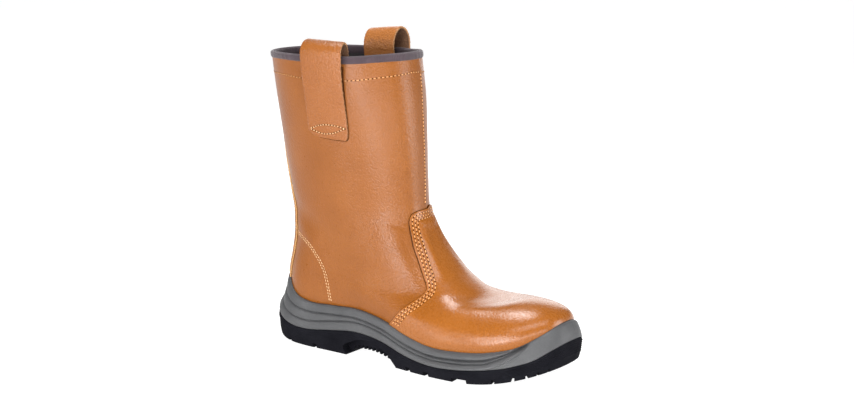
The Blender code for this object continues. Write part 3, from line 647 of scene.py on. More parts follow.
def fabric(name, dark, light, scale, sheen):
    """Close cloth: crossed threads in bump with a soft sheen."""
    material, tree, shader, place = tree_of(name)
    blotch = noise(tree, place, 90.0, 4.0)
    fuzz = noise(tree, place, 2600.0, 2.0)
    crossed = add(tree, "ShaderNodeMath", {"operation": "MULTIPLY"})
    for direction, height in zip("XZ", crossed.inputs):
        wave = add(tree, "ShaderNodeTexWave", {"wave_type": "BANDS", "bands_direction": direction},
                   Vector=place, Scale=scale, Distortion=1.5, Detail=1.0, Detail_Scale=2.0)
        tree.links.new(wave.outputs["Fac"], height)
    weave = crossed.outputs["Value"]
    colour = ramp(tree, blotch, ((0.3, dark), (0.7, light)))
    shade = ramp(tree, weave, ((0.0, (0.6, 0.6, 0.6)), (0.8, (1.15, 1.15, 1.15))))
    feed(shader, Base_Color=multiplied(tree, 0.6, colour, shade), Roughness=spread(tree, fuzz, 0.72, 0.92),
         Sheen_Weight=sheen, Sheen_Roughness=0.5)
    bumped(tree, shader, ((weave, 0.6, 0.0002), (fuzz, 0.3, 0.0001)))
    return material


def moulded(name, dark, light, rough, speckle, depth, shine):
    """Moulded sole: matt skin with a fine sparked grain and faint flow marks."""
    material, tree, shader, place = tree_of(name)
    cloud = noise(tree, place, 45.0, 5.0, 0.6)
    spark = noise(tree, place, speckle, 3.0, 0.7)
    scuff = noise(tree, place, 160.0, 5.0, 0.7)
    colour = ramp(tree, cloud, ((0.3, dark), (0.7, light)))
    grain = ramp(tree, spark, ((0.35, (0.88, 0.88, 0.88)), (0.65, (1.1, 1.1, 1.1))))
    gloss = spread(tree, scuff, rough - 0.08, rough + 0.12, 0.3, 0.7)
    feed(shader, Base_Color=multiplied(tree, 0.7, colour, grain), Roughness=gloss, Specular_IOR_Level=shine)
    bumped(tree, shader, ((scuff, 0.12, 0.0002), (spark, 0.35, depth)))
    return material


def plain(name, dark, light, rough, scale, depth, shine=0.3):
    """Thread, raw edges, and painted shade at edges and needle holes: two tones and a fine tooth."""
    material, tree, shader, place = tree_of(name)
    tone = noise(tree, place, scale, 3.0, 0.65)
    colour = ramp(tree, tone, ((0.35, dark), (0.65, light)))
    feed(shader, Base_Color=colour, Roughness=rough, Specular_IOR_Level=shine)
    bumped(tree, shader, ((tone, 0.5, depth),))
    return material


TAN = leather("tan_leather", (0.2021, 0.0601, 0.0059), (0.2186, 0.0672, 0.0080),
              (0.2355, 0.0757, 0.0108), 0.32, 0.30, 0.00035, 0.00012, 640.0)
VAMP_TAN = leather("vamp_leather", (0.2320, 0.0700, 0.0068), (0.2503, 0.0780, 0.0092),
                   (0.2686, 0.0866, 0.0122), 0.27, 0.42, 0.0002, 0.00008, 640.0)
STRAP_TAN = leather("strap_leather", (0.2218, 0.0675, 0.0094), (0.2396, 0.0760, 0.0126),
                    (0.2575, 0.0855, 0.0170), 0.36, 0.36, 0.0008, 0.00015, 560.0)
# Lighter copy of the strap leather for the inner loop: painted light, as both loops are the same leather.
LIT_STRAP = leather("inner_strap_leather", (0.345, 0.122, 0.028), (0.37, 0.135, 0.034),
                     (0.395, 0.148, 0.040), 0.36, 0.36, 0.0008, 0.00015, 560.0)
FLESH = plain("flesh_side", (0.15, 0.075, 0.04), (0.24, 0.13, 0.075), 0.95, 700.0, 0.0004)
# Duller raw edge of the straps: its own edge colour, made darker in part as painted shade of the gap beside
# the strap.
STRAP_EDGE = plain("strap_edge", (0.20, 0.09, 0.035), (0.42, 0.22, 0.10), 0.9, 900.0, 0.0003)
RAW = plain("raw_edge", (0.41, 0.21, 0.072), (0.59, 0.36, 0.15), 0.85, 900.0, 0.0002)
# Near-black brown painted shadow for the overlay's edge faces and for the dark lines beside edges and strap
# ends.
SHADOW_EDGE = plain("painted_edge_shadow", (0.045, 0.015, 0.004), (0.10, 0.032, 0.009), 0.9, 700.0, 0.0002, 0.04)
LINING = fabric("lining_cloth", (0.020, 0.016, 0.018), (0.036, 0.029, 0.032), 260.0, 0.1)
TAPE = fabric("binding_tape", (0.0351, 0.0195, 0.0268), (0.0532, 0.0309, 0.0404), 330.0, 0.18)
FELT = fabric("insole_felt", (0.05, 0.047, 0.045), (0.09, 0.085, 0.08), 420.0, 0.2)
GREY = moulded("grey_midsole", (0.0524, 0.0530, 0.0555), (0.0668, 0.0675, 0.0699), 0.5, 1000.0, 0.00016, 0.34)
BLACK = moulded("black_outsole", (0.005, 0.005, 0.0068), (0.009, 0.009, 0.0118), 0.82, 1300.0, 0.00006, 0.03)
THREAD = plain("thread", (0.56, 0.265, 0.098), (0.74, 0.40, 0.17), 0.7, 1600.0, 0.0001)
PALE_THREAD = plain("pale_thread", (0.5220, 0.3105, 0.1530), (0.6660, 0.4500, 0.2565), 0.7, 1600.0, 0.0001)
# Dark discs over the needle holes: painted shade of the holes.
HOLE_SHADE = plain("needle_hole_shade", (0.035, 0.010, 0.003), (0.07, 0.021, 0.006), 0.95, 900.0, 0.0001, 0.03)


# Upper, lining and insole.

def shell(name, columns, sheets, material, **tags):
    """Closed skin round the boot through sheets of (height over the leather's face, shares v)."""
    u = round_shares(columns)
    rings = [skin(u, v, height) for height, shares in sheets for v in shares]
    return add_piece(name, np.concatenate(rings), hoop_faces(len(rings), columns), [material], **tags)


def make_upper():
    """Leather shell with creases, in one closed skin."""
    sheets = ((0.0, np.linspace(0.0, 1.0, 215)), (-LEATHER_THICK, np.linspace(1.0, 0.0, 26)))
    return shell("upper_leather", 400, sheets, TAN, slot="leather", node="upper")


def make_lining():
    """Cloth inside the shaft and foot."""
    outer, inner = np.linspace(0.0, LINING_TOP, 90), np.linspace(LINING_TOP, 0.0, 90)
    sheets = ((-LINING_OUTSIDE, outer), (-WALL, inner))
    return shell("lining", 200, sheets, LINING, slot="binding_tape")


def make_insole():
    """Loose bed with a rounded edge."""
    base = sample(BASE, round_shares(240), 0.0)
    out = plan_outward(base)
    rings = []
    for inset, rise in INSOLE_PROFILE:
        ring = base - (WALL + CUP_GAP + inset) * out
        rings.append(at_height(ring, bed_z(ring[:, 0]) + GAP + rise))
    return add_piece("insole_bed", *capped(rings), [FELT], slot="insole_felt", node="insole")


# Front overlay.

def edge_line():
    """Columns of the front overlay and the share v of its rear edge on each."""
    steps = np.concatenate([through(VAMP_EDGE, 400), VAMP_RISE])
    order = np.maximum.accumulate(steps[:, 1] + 1e-6 * np.arange(len(steps)))

    def behind(points):
        limit = np.interp(points[..., 2], order, steps[:, 0])
        return limit - INNER_BACK * smooth((points[..., 1] - INNER_START) / INNER_SPAN) - points[..., 0]

    rows = np.arange(GRID_V)[:, None] / (GRID_V - 1)
    edge = crossing(np.where(rows <= RIM[None, :], -1.0, behind(BASE)))
    start = sample(BASE, grid_u, RIM + RIM_STEP)
    inside = (behind(start) < 0.0) & (edge > RIM + 0.5 * RIM_STEP)
    return np.where(inside)[0], edge


def distance_to(points, line):
    """Distance of each point to a line of close points."""
    tree = kdtree.KDTree(len(line))
    for k, p in enumerate(line):
        tree.insert(p, k)
    tree.balance()
    return np.array([tree.find(p)[2] for p in points])


VAMP_COLUMNS, VAMP_TOP = edge_line()
VAMP_LINE = resample(sample(SKIN, grid_u[VAMP_COLUMNS], VAMP_TOP[VAMP_COLUMNS]), 0.4)
# Distances of the stitch rows from the overlay's edge, its thickness, border painted dark as shadow and
# padded swell.
VAMP_ROWS, ROW_DEPTH, ROW_WIDTH = (2.7, 5.4, 7.9), 0.3, 0.8
VAMP_THICK, VAMP_LIFT, VAMP_ROUND = 1.7, 0.1, 1.1
BORDER_SHADE = 0.3
SWELL_FAR, SWELL_WIDTH, SWELL_Z, SWELL_SPAN = 13.5, 4.6, 72.0, 14.0
INNER_LESS, LESS_Y, LESS_SPAN = 0.2, -8.0, 16.0
PAD_HEIGHT, PAD_FAR, PAD_WIDTH = 0.15, 4.2, 1.0


def swell_share(points):
    """Share of the swell inside the seam rows: none round the low corners, less on the inner side."""
    less = INNER_LESS * smooth((points[..., 1] - LESS_Y) / LESS_SPAN)
    return smooth((points[..., 2] - SWELL_Z) / SWELL_SPAN) * (1.0 - less)


def vamp_height(far, share):
    """Height of the overlay's face over the upper by the distance to its edge and the share of its swell."""
    rounded = 0.55 + 0.45 * arc(far / VAMP_ROUND)
    sunk = sum(bell(far - row, ROW_WIDTH) for row in VAMP_ROWS)
    swell = share * bell(far - SWELL_FAR, SWELL_WIDTH) + PAD_HEIGHT * bell(far - PAD_FAR, PAD_WIDTH)
    return VAMP_LIFT + VAMP_THICK * rounded - ROW_DEPTH * sunk + swell


def make_vamp():
    """Front overlay from the sole's rim to its stitched rear edge."""
    columns = VAMP_COLUMNS[::2]
    share = np.linspace(0.0, 1.0, 120)
    share = 0.45 * share + 0.55 * (1.0 - (1.0 - share) ** 2)
    low = RIM[columns] + VAMP_FOOT
    v = low + (VAMP_TOP[columns] - low) * share[:, None]
    u = np.broadcast_to(grid_u[columns], v.shape)
    flat = sample(SKIN, u, v)
    far = distance_to(flat.reshape(-1, 3), VAMP_LINE).reshape(v.shape)
    points, faces, marks = slab(skin(u, v, VAMP_LIFT), skin(u, v, vamp_height(far, swell_share(flat))))
    # Faces within the border at the overlay's edge, and its edge faces, take the painted shadow.
    near = 0.25 * (far[:-1, :-1] + far[1:, :-1] + far[:-1, 1:] + far[1:, 1:]) < BORDER_SHADE
    marks[near.size:2 * near.size] = near.ravel()
    return add_piece("vamp_overlay", points, faces, [VAMP_TAN, SHADOW_EDGE], marks, "leather", "vamp", 50)


# Strip up the back.

STRIP_THICK, STRIP_LIFT, STRIP_TOP = 1.4, 0.2, 5.0
STRIP_ACROSS, STRIP_ROUND = 20.0, 1.2
# Dark lines of painted shadow beside edges: profile (share of the width, height), widths, and the strap ends
# they follow.
RIBBON_PROFILE = ((-0.4, 0.03), (-0.4, 0.25), (0.55, 0.25), (1.0, 0.03))
VAMP_LINE_WIDTHS, VAMP_LINE_STEPS = (0.1, 0.55), ((62.0, 8.0), (118.0, 9.0))
STRIP_LINE_WIDTH = 0.6
REAR_WIDTH, FOOT_WIDTH, FRONT_WIDTH, OFF_WIDTH = 0.9, 1.3, 0.8, 2.8
REAR_END, FRONT_END, OFF_START, OFF_SPAN, OFF_INSET = 1.9, 6.2, 3.0, 3.0, 0.095
PERIMETER = np.linalg.norm(np.diff(BASE[..., :2], axis=1), axis=2).sum(axis=1)


def strip_shares(across, along):
    """Shares u and v of the back strip by its places across (-1 to 1) and along (0 to 1)."""
    low = share_at(RIM, STRIP_FOOT * across) + RIM_STEP
    high = drop_share(STRIP_TOP)
    v = low + (high - low) * along
    half = np.interp(np.interp(v, grid_v, BASE[:, 0, 2]), *STRIP_HALF)
    return across * half / np.interp(v, grid_v, PERIMETER), v


def make_back_strip():
    """Strip over the back seam, with raw edges."""
    across = np.linspace(-1.0, 1.0, 41)
    u, v = strip_shares(across, np.linspace(0.0, 1.0, 220)[:, None])
    height = STRIP_LIFT + STRIP_THICK * (0.7 + 0.3 * arc((1.0 - np.abs(across)) * STRIP_ACROSS / STRIP_ROUND))
    points, faces, marks = slab(skin(u, v, 0.1), skin(u, v, height))
    return add_piece("back_seam_strip", points, faces, [TAN, RAW], marks, "strip_leather", "back_strip", 45)


def make_ribbon(name, line, outward, width):
    """Dark line of painted shadow beside an overlay's edge, where the skived edge meets the leather under it.
    """
    ring = []
    for offset, rise in RIBBON_PROFILE:
        far = offset * np.broadcast_to(width if offset > 0.0 else 1.0, len(line))
        points, out = on_skin(line + outward * far[:, None])
        ring.append(points + rise * out)
    return add_piece(name, *bar(np.stack(ring, axis=1)), [SHADOW_EDGE], sharp=50)


def vamp_edge_frame():
    """Points of the overlay's edge and the level directions into the overlay."""
    line = resample(VAMP_LINE, 1.0)
    inward = np.cross(on_skin(line)[1], unit(np.gradient(line, axis=0)))
    return line, inward * np.sign(np.mean(inward[:, 0]))


def make_edge_shadows():
    """Dark lines of painted shadow beside the front overlay, the back strip and the straps' outer ends."""
    line, inward = vamp_edge_frame()
    thin, more = VAMP_LINE_WIDTHS
    rise, fall = (smooth((line[:, 2] - start) / span) for start, span in VAMP_LINE_STEPS)
    make_ribbon("vamp_edge_shadow", line, -inward, thin + more * rise * (1.0 - fall))
    for name, side in (("outer", 1.0), ("inner", -1.0)):
        u, v = strip_shares(side, np.linspace(0.0, 1.0, 160))
        line = sample(SKIN, u, v)
        outward = unit(sample(SKIN, u + side * RIM_STEP, v) - line)
        make_ribbon(f"strip_edge_shadow_{name}", line, outward, STRIP_LINE_WIDTH)
    # Beside the straps the painted shadow widens up the front edge, where the strap stands off the shaft.
    for name, place in LOOPS.items():
        rear = loop_frame(*place, np.linspace(REAR_END, 0.0, 30), np.array([-0.5]))[0][:, 0]
        foot = loop_frame(*place, np.array([0.0, 0.05]), np.linspace(-0.5, 0.5, 40))[0][0, 1:-1]
        places = np.linspace(0.0, FRONT_END, 70)
        off = smooth((places - OFF_START) / OFF_SPAN)
        front = np.diagonal(loop_frame(*place, places, 0.5 - OFF_INSET * off)[0]).T
        line = np.concatenate([rear, foot, front])
        wide = np.concatenate([np.full(len(rear), REAR_WIDTH), np.full(len(foot), FOOT_WIDTH),
                               FRONT_WIDTH + OFF_WIDTH * off])
        line, wide = np.split(resample(np.column_stack([line, wide]), 0.8), [3], axis=1)
        line, out = on_skin(line)
        outward = np.cross(out, unit(np.gradient(line, axis=0)))
        outward = outward * np.sign(np.mean(np.sum(outward * (line - line.mean(axis=0)), axis=1)))
        make_ribbon(name.replace("pull_loop", "strap_end_line"), line, outward, wide[:, 0])


# Binding round the collar.

BINDING_PROFILE = ((0.1, -5.6), (0.55, -5.4), (0.95, -4.2), (1.1, -2.6), (0.95, -1.0), (0.5, 0.3),
                   (-0.4, 1.0), (-1.5, 1.1), (-2.6, 0.6), (-3.3, -0.6), (-3.6, -2.4), (-3.6, -4.6),
                   (-3.2, -6.6), (-2.4, -7.6))
RIPPLE, RIPPLE_WAVES = 0.12, (61, 7)


def make_binding():
    """Padded tape folded over the collar's edge."""
    u = round_shares(420)
    first, second = (np.sin(2 * math.pi * waves * u) for waves in RIPPLE_WAVES)
    rings = []
    for out, rise in resample(through(BINDING_PROFILE, 200), count=40):
        v = drop_share(max(-rise, 0.0))
        ripple = RIPPLE * first * second * (out > 0.5)
        ring = sample(BASE, u, v) + (out + ripple)[:, None] * level_out(u, v)
        rings.append(ring + (0.0, 0.0, max(rise, 0.0)))
    return add_piece("collar_tape", np.concatenate(rings), hoop_faces(len(rings), len(u)), [TAPE],
                     slot="binding_tape", node="collar_binding", sharp=60)


# Pull loops.

END_DROP, END_SPAN, END_PLACE, END_POWER, END_SHARE = 59.5, 7.0, 4, 2.2, 0.45
LOOP_CUP, CUP_PLACE, CUP_SPAN, LOOP_ROUND = 0.175, 9.5, 4.0, 0.9
LENS_DROP, LENS_BOW, LENS_TILT, LENS_START, LENS_LENGTH = 58.6, 3.9, 4.5, 0.06, 0.90


def loop_frame(side, centre_x, arch, tilt, places, widths):
    """Points of a loop's inner face and its directions of thickness, by place along and share across."""
    drop, rise, out, wide = catmull(LOOP_PATH, places).T
    drop, rise = np.maximum(drop, 0.0), np.maximum(rise, 0.0)
    ahead = np.gradient(np.column_stack([out, rise * arch - drop]), axis=0)
    normal = unit(np.column_stack([ahead[:, 1], -ahead[:, 0]]))
    end = np.clip((drop - END_DROP) / END_SPAN, 0.0, 1.0) * (places < END_PLACE)
    narrow = END_SHARE + (1.0 - END_SHARE) * np.sqrt(np.clip(1.0 - end**END_POWER, 0.0, 1.0))
    row = np.linspace(0.02, 0.48, 500)
    points, thick = [], []
    for i in range(len(places)):
        v = drop_share(drop[i])
        taper = np.where(widths < 0.0, narrow[i], 0.8 + 0.2 * narrow[i])
        u = np.interp(centre_x + LOOP_WIDTH * wide[i] * widths * taper, sample(BASE, row, v)[:, 0], row)
        u = u if side < 0 else 1.0 - u
        level = level_out(u, v)
        lift = np.zeros((len(u), 3))
        lift[:, 2] = rise[i] * arch * (1.0 + tilt * widths)
        points.append(sample(BASE, u, v) + lift + out[i] * level)
        thick.append(normal[i, 0] * level + (0.0, 0.0, normal[i, 1]))
    return np.array(points), np.array(thick)


def make_loop(name, *place):
    """Strap sewn on the outside, bowed over the collar and down the inside, with raw edges."""
    places = np.concatenate([np.linspace(0.0, 2.0, 26)[:-1], np.linspace(2.0, len(LOOP_PATH) - 1, 110)])
    widths = np.linspace(-0.5, 0.5, 33)
    inner, thick = loop_frame(*place, places, widths)
    ragged = 0.25 * np.sin(places * 37.0) * np.sin(places * 11.3 + 1.0) + 0.15 * np.sin(places * 83.0)
    edge = np.zeros_like(inner)
    edge[:, 0] = (inner[:, 0] - inner[:, 1]) * ragged[:, None]
    edge[:, -1] = (inner[:, -1] - inner[:, -2]) * ragged[::-1, None]
    inner = inner + edge
    high = LOOP_THICK * (0.82 + 0.18 * arc((0.5 - np.abs(widths)) * LOOP_WIDTH / LOOP_ROUND))
    cup = LOOP_CUP * (2.0 * widths) ** 2 * bell(places - CUP_PLACE, CUP_SPAN)[:, None]
    points, faces, marks = slab(inner - thick * cup[..., None], inner + thick * (high - cup)[..., None])
    marks[:(len(places) - 1) * (len(widths) - 1)] = 2
    # The inner loop takes the lighter copy of the strap leather, painted light.
    face = STRAP_TAN if place[0] < 0 else LIT_STRAP
    return add_piece(name, points, faces, [face, STRAP_EDGE, FLESH], marks, "strip_leather",
                     name.replace("strap", "loop"), 40)


# Sole.

def lip_ring(u):
    """Upper's points beside the midsole's rim, level directions out of them and the rim's width there."""
    v = share_at(RIM, u)
    edge = sample(BASE, u, v)
    tab = smooth((edge[:, 0] - np.min(edge[:, 0])) / TAB_SPAN)
    tip = smooth((edge[:, 0] - TOE_LIP_START) / TOE_LIP_SPAN)
    return edge, level_out(u, v), TAB_LIP + (LIP - TAB_LIP) * tab + (TOE_LIP - LIP) * tip


def seam_line(u):
    """Seam between midsole and outsole with the level directions out of it."""
    seam = ring_points(SEAM_RING, u)
    seam = at_height(seam, side_value("seam_z", seam[:, 0]))
    return seam, plan_outward(seam)


def under_bed(seam, out, inset):
    """Ring inside the seam that stays below the foot bed."""
    core = seam - inset * out
    return at_height(core, np.minimum(core[:, 2], bed_z(core[:, 0]) - MIDSOLE_FLOOR))


HEEL_HOLLOW, HOLLOW_X, HOLLOW_SPAN = 1.8, 24.0, 14.0
BUMPER_BORDER = ((0.0, 0.2, 0.5, 0.75, 0.92, 1.0), (282.0, 279.5, 273.0, 267.0, 260.0, 250.0))
BAND_BASES, BAND_SWELLS, FORE_SWELL = (0.1, 0.55, 0.35), (0.75, 0.6, 0.85), 1.1
FORE_START, FORE_SPAN = 170.0, 40.0
GROOVE_LIFT, LIFT_START, LIFT_SPAN = 0.93, 246.0, 36.0
GROOVE_DEPTH, FORE_DEPTH, GROOVE_WIDTH, FORE_WIDTH = 1.15, 0.7, 0.75, 0.6
LIP_DROP, LIP_PROFILE = 0.9, ((0.15, -0.35), (0.5, -0.05), (1.0, 0.05))
MOULD_Y, MOULD_X, MOULD_WIDTH, MOULD_HEIGHT = 13.5, 290.0, 0.55, 0.35
HALF_SPAN, BELOW, ARCH_FOOT = 90.0, -8.0, -6.0
TOE_START, TOE_SPAN, SIDE_OUT = 258.0, 14.0, 0.55


def band_height(share, x, tall, upper_groove, lower_groove):
    """Relief of the midsole's side: three pillowed bands parted by grooves, and a smooth toe bumper."""
    past = x - np.interp(share, *BUMPER_BORDER)
    lift = 1.0 - GROOVE_LIFT * smooth((x - LIFT_START) / LIFT_SPAN)
    first, second = upper_groove * lift, lower_groove * lift
    fore = smooth((x - FORE_START) / FORE_SPAN)
    bands = np.zeros_like(x)
    for start, end, base, swell in zip((0.0, first, second), (first, second, 1.0), BAND_BASES, BAND_SWELLS):
        place = (share - start) / np.maximum(end - start, 1e-3)
        there = (place >= 0.0) & (place <= 1.0)
        pillow = np.sin(math.pi * np.clip(place, 0.0, 1.0)) ** 0.6
        bands = np.where(there, base + swell * (1.0 + FORE_SWELL * fore) * pillow, bands)
    for groove in (first, second):
        cut = bell((share - groove) * tall, GROOVE_WIDTH + FORE_WIDTH * fore)
        bands = bands - (GROOVE_DEPTH + FORE_DEPTH * fore) * cut
    bumper = 0.4 + 0.75 * np.sin(math.pi * np.clip(0.12 + 0.86 * share, 0.0, 1.0))
    step = smooth((past + 1.2) / 2.4)
    crease = 0.9 * bell(past + 1.8, 1.6) - 0.45 * bell(past - 1.6, 1.5)
    return (bands * (1.0 - step) + bumper * step - crease) * smooth((1.0 - share) / 0.06)


def make_midsole():
    """Grey midsole with its cup, banded side, heel tab and toe bumper."""
    u = round_shares(640)
    edge, level, proud = lip_ring(u)
    seam, out = seam_line(u)
    lip = edge + proud[:, None] * level - (0.0, 0.0, LIP_DROP)
    tall = np.linalg.norm(seam - lip, axis=1)
    grooves = [side_value(name, seam[:, 0]) for name in ("upper_groove", "lower_groove")]
    mould = MOULD_HEIGHT * bell(seam[:, 1] - MOULD_Y, MOULD_WIDTH) * (seam[:, 0] > MOULD_X)
    foot = seam + (0.0, 0.0, GAP)
    rings = [under_bed(seam, out, LIP_INSET + CUP_GAP) + (0.0, 0.0, GAP), foot - 0.4 * out]
    for share in np.linspace(0.995, 0.0, 74):
        place = lip + (foot - lip) * share
        high = band_height(share, place[:, 0], tall, *grooves) + mould * smooth((0.62 - share) / 0.1)
        hollow = HEEL_HOLLOW * smooth((HOLLOW_X - place[:, 0]) / HOLLOW_SPAN)
        high = high - hollow * math.sin(math.pi * min(share / 0.85, 1.0))
        rings.append(place + high[:, None] * out)
    for inset, rise in LIP_PROFILE:
        rings.append(edge + (proud - np.minimum(inset, 0.6 * proud))[:, None] * level + (0.0, 0.0, rise))
    rings.append(edge + GAP * level)
    for share in np.linspace(0.97, 0.0, 12):
        v = share_at(RIM, u) * share
        rings.append(sample(BASE, u, v) + GAP * unit(sample(BASE_OUT, u, v)))
    return add_piece("midsole_grey", *capped(rings), [GREY], slot="grey_midsole", node="midsole", sharp=65)


def box(centre, along, length, width, top):
    """Points and faces of an upright block from below the tread up to a height."""
    across = np.array([-along[1], along[0]])
    corners = []
    for z in (BELOW, top):
        for a, b in ((-0.5, -0.5), (0.5, -0.5), (0.5, 0.5), (-0.5, 0.5)):
            corners.append((*(centre + a * length * along + b * width * across), z))
    faces = [(3, 2, 1, 0), (4, 5, 6, 7)] + [(k, (k + 1) % 4, 4 + (k + 1) % 4, 4 + k) for k in range(4)]
    return np.array(corners), faces


def joined(solids):
    """Points and faces of several solids as one list."""
    points, faces, first = [], [], 0
    for solid_points, solid_faces in solids:
        points.append(solid_points)
        faces += [tuple(first + int(i) for i in face) for face in solid_faces]
        first += len(solid_points)
    return np.concatenate(points), faces


def across_points(outline, y):
    """Points of an outline given from the side, at the places y across the boot."""
    return np.column_stack([outline[:, 0], np.broadcast_to(y, len(outline)), outline[:, 1]])


def tread_side(x, side):
    """Point and level outward direction of the ground outline at x."""
    line = ring_side(GROUND_RING, side)
    k = int(np.searchsorted(line[:, 0], x))
    along = unit((line[k + 4] - line[k - 4])[:2])
    return np.array([x, np.interp(x, line[:, 0], line[:, 1])]), side * np.array([-along[1], along[0]])


def side_opening(outline, side):
    """Block under the arch from outside one wall of the sole to a little way in."""
    inner = [tread_side(x, side)[0][1] - side * ARCH_INSET for x in outline[:, 0]]
    return prism(across_points(outline, side * HALF_SPAN), across_points(outline, inner))


def tread_cutters():
    """Solids cut from the outsole: arch, its side openings, ribs, channels, notches, cross grooves."""
    ahead = np.array([1.0, 0.0])
    shank = np.array(SHANK_PROFILE)
    shank_line = through(shank[1:-1], 40)
    shank_line[:, 1] = np.maximum(shank_line[:, 1], 0.0)
    shank_line = np.concatenate([shank[:1], shank_line, shank[-1:]])
    under = prism(across_points(shank_line, -HALF_SPAN), across_points(shank_line, HALF_SPAN))
    ribs = []
    for x in RIB_X:
        top = np.interp(x, *shank.T) + RIB_DEPTH
        ribs.append(box(np.array([x, 0.0]), ahead, RIB_WIDTH, 2.0 * HALF_SPAN, top))
    arch_line = through(ARCH_PROFILE, 56)
    feet = [[(arch_line[end, 0], ARCH_FOOT)] for end in (0, -1)]
    arch_line = np.concatenate([feet[0], arch_line, feet[1]])
    openings = [side_opening(arch_line, side) for side in (-1, 1)]
    channels, notches = [], []
    for start, end in CHANNEL_RUNS:
        for side in (-1, 1):
            rings = []
            for x in np.linspace(start, end, 25):
                edge, out = tread_side(x, side)
                left, right = (edge - (CHANNEL_INSET + s * CHANNEL_WIDTH) * out for s in (0.5, -0.5))
                top = ground_z(x) + CHANNEL_DEPTH
                rings.append(np.array([(*left, BELOW), (*right, BELOW), (*right, top), (*left, top)]))
            channels.append(bar(rings))
    for x, width, depth in NOTCHES:
        for side in (-1, 1):
            edge, out = tread_side(x, side)
            centre = edge + 0.5 * (NOTCH_OVERRUN - NOTCH_LENGTH) * out
            notches.append(box(centre, out, NOTCH_LENGTH + NOTCH_OVERRUN, width, ground_z(x) + depth))
    for x in CROSS_X:
        outer, inner = (tread_side(x, side)[0] for side in (-1, 1))
        width = inner[1] - outer[1] - 2.0 * CHANNEL_INSET
        notches.append(box(0.5 * (outer + inner), ahead, CROSS_WIDTH, width, ground_z(x) + CHANNEL_DEPTH))
    return under, *openings, joined(ribs), joined(channels), joined(notches)


def make_outsole():
    """Black outsole with its tread cut and the ribbed side of the toe."""
    u = round_shares(320)
    seam, out = seam_line(u)
    ground = ring_points(GROUND_RING, u)
    ground = at_height(ground, ground_z(ground[:, 0]))
    ground_out = plan_outward(ground)
    toe = smooth((seam[:, 0] - TOE_START) / TOE_SPAN)[:, None]
    edge = ground - 2.0 * ground_out
    rings = [at_height(edge, ground_z(edge[:, 0])), ground - 0.5 * ground_out + (0.0, 0.0, 0.5),
             ground + (0.0, 0.0, 1.6)]
    for share in np.linspace(0.66, 0.06, 49):
        rib = 0.25 - 0.25 * math.cos(2.0 * math.pi * (share - 0.06) / 0.1)
        bead = 0.5 * bell(share - 0.2, 0.05)
        rings.append(seam + (ground - seam) * share + (SIDE_OUT + rib * toe + bead * (1.0 - toe)) * out)
    rings += [seam, under_bed(seam, out, LIP_INSET)]
    solids = {"outsole_body": capped(rings)}
    for k, solid in enumerate(tread_cutters()):
        solids[f"cutter_{k}"] = solid
    body, *tools = (placed(name, closed_mesh(name, *solid)) for name, solid in solids.items())
    for tool in tools:
        modifier = body.modifiers.new(tool.name, "BOOLEAN")
        modifier.operation = "DIFFERENCE"
        modifier.object = tool
    modifier = body.modifiers.new("soften", "BEVEL")
    modifier.limit_method = "ANGLE"
    modifier.angle_limit = math.radians(50.0)
    modifier.width = 0.0004
    modifier.segments = 1
    bpy.context.view_layer.update()
    mesh = bpy.data.meshes.new_from_object(body.evaluated_get(bpy.context.evaluated_depsgraph_get()))
    for item in (body, *tools):
        bpy.data.objects.remove(item, do_unlink=True)
    mesh.name = "outsole_black"
    for vertex in mesh.vertices:
        vertex.co -= Vector(ORIGIN * MM)
    mesh.materials.clear()
    mesh.materials.append(BLACK)
    mesh.shade_smooth()
    mesh.set_sharp_from_angle(angle=math.radians(38.0))
    item = placed("outsole_black", mesh)
    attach(item, "root")
    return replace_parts(item, "outsole")


# Stitching.

def pill(rings, around):
    """Points and faces of a short rounded rod along X, one unit long and wide."""
    points = [(-0.5, 0.0, 0.0)]
    for k in range(1, rings):
        a = math.pi * k / rings
        wide = 0.5 * math.sin(a) ** 0.6
        for j in range(around):
            b = 2.0 * math.pi * j / around
            points.append((-0.5 * math.cos(a), wide * math.cos(b), wide * math.sin(b)))
    points.append((0.5, 0.0, 0.0))
    faces = [(0, 1 + (j + 1) % around, 1 + j) for j in range(around)]
    for k in range(rings - 2):
        for j in range(around):
            a, b = 1 + k * around + j, 1 + k * around + (j + 1) % around
            faces.append((a, b, b + around, a + around))
    last, first = len(points) - 1, 1 + (rings - 2) * around
    faces += [(last, first + j, first + (j + 1) % around) for j in range(around)]
    return np.array(points), faces


PILL = pill(5, 6)
BEAD = pill(4, 8)
ARCH_DROP, FLATTER = 0.28, 0.8
HOLE_DEPTH, HOLE_LIFT = 0.3, 0.09
ROW_SLACK, ROW_CLEAR, COUNTER_SHIFT, STRIP_SEAM = 0.25, 2.5, 1.1, 0.86
# Seams: pitch, length and thickness of the stitches, lift of their middle, width of the dark discs of painted
# shade at the needle holes.
STITCHES = {
    "vamp": (3.8, 2.3, 0.85, 0.16, 1.45),
    "counter": (2.9, 2.1, 0.85, 0.16, 0.0),
    "collar": (3.7, 2.4, 0.68, 0.12, 1.25),
    "front": (3.2, 2.2, 0.9, 0.16, 1.25),
    "back": (3.4, 2.3, 0.8, 0.12, 1.25),
    "loops": (3.0, 1.8, 0.85, 0.16, 1.25),
}
# Drop of the collar's seam below the edge by the way round from the back.
COLLAR_SEAM = ((0.0, 0.08, 0.25, 0.36, 0.5), (18.0, 18.5, 19.8, 18.0, 14.2))


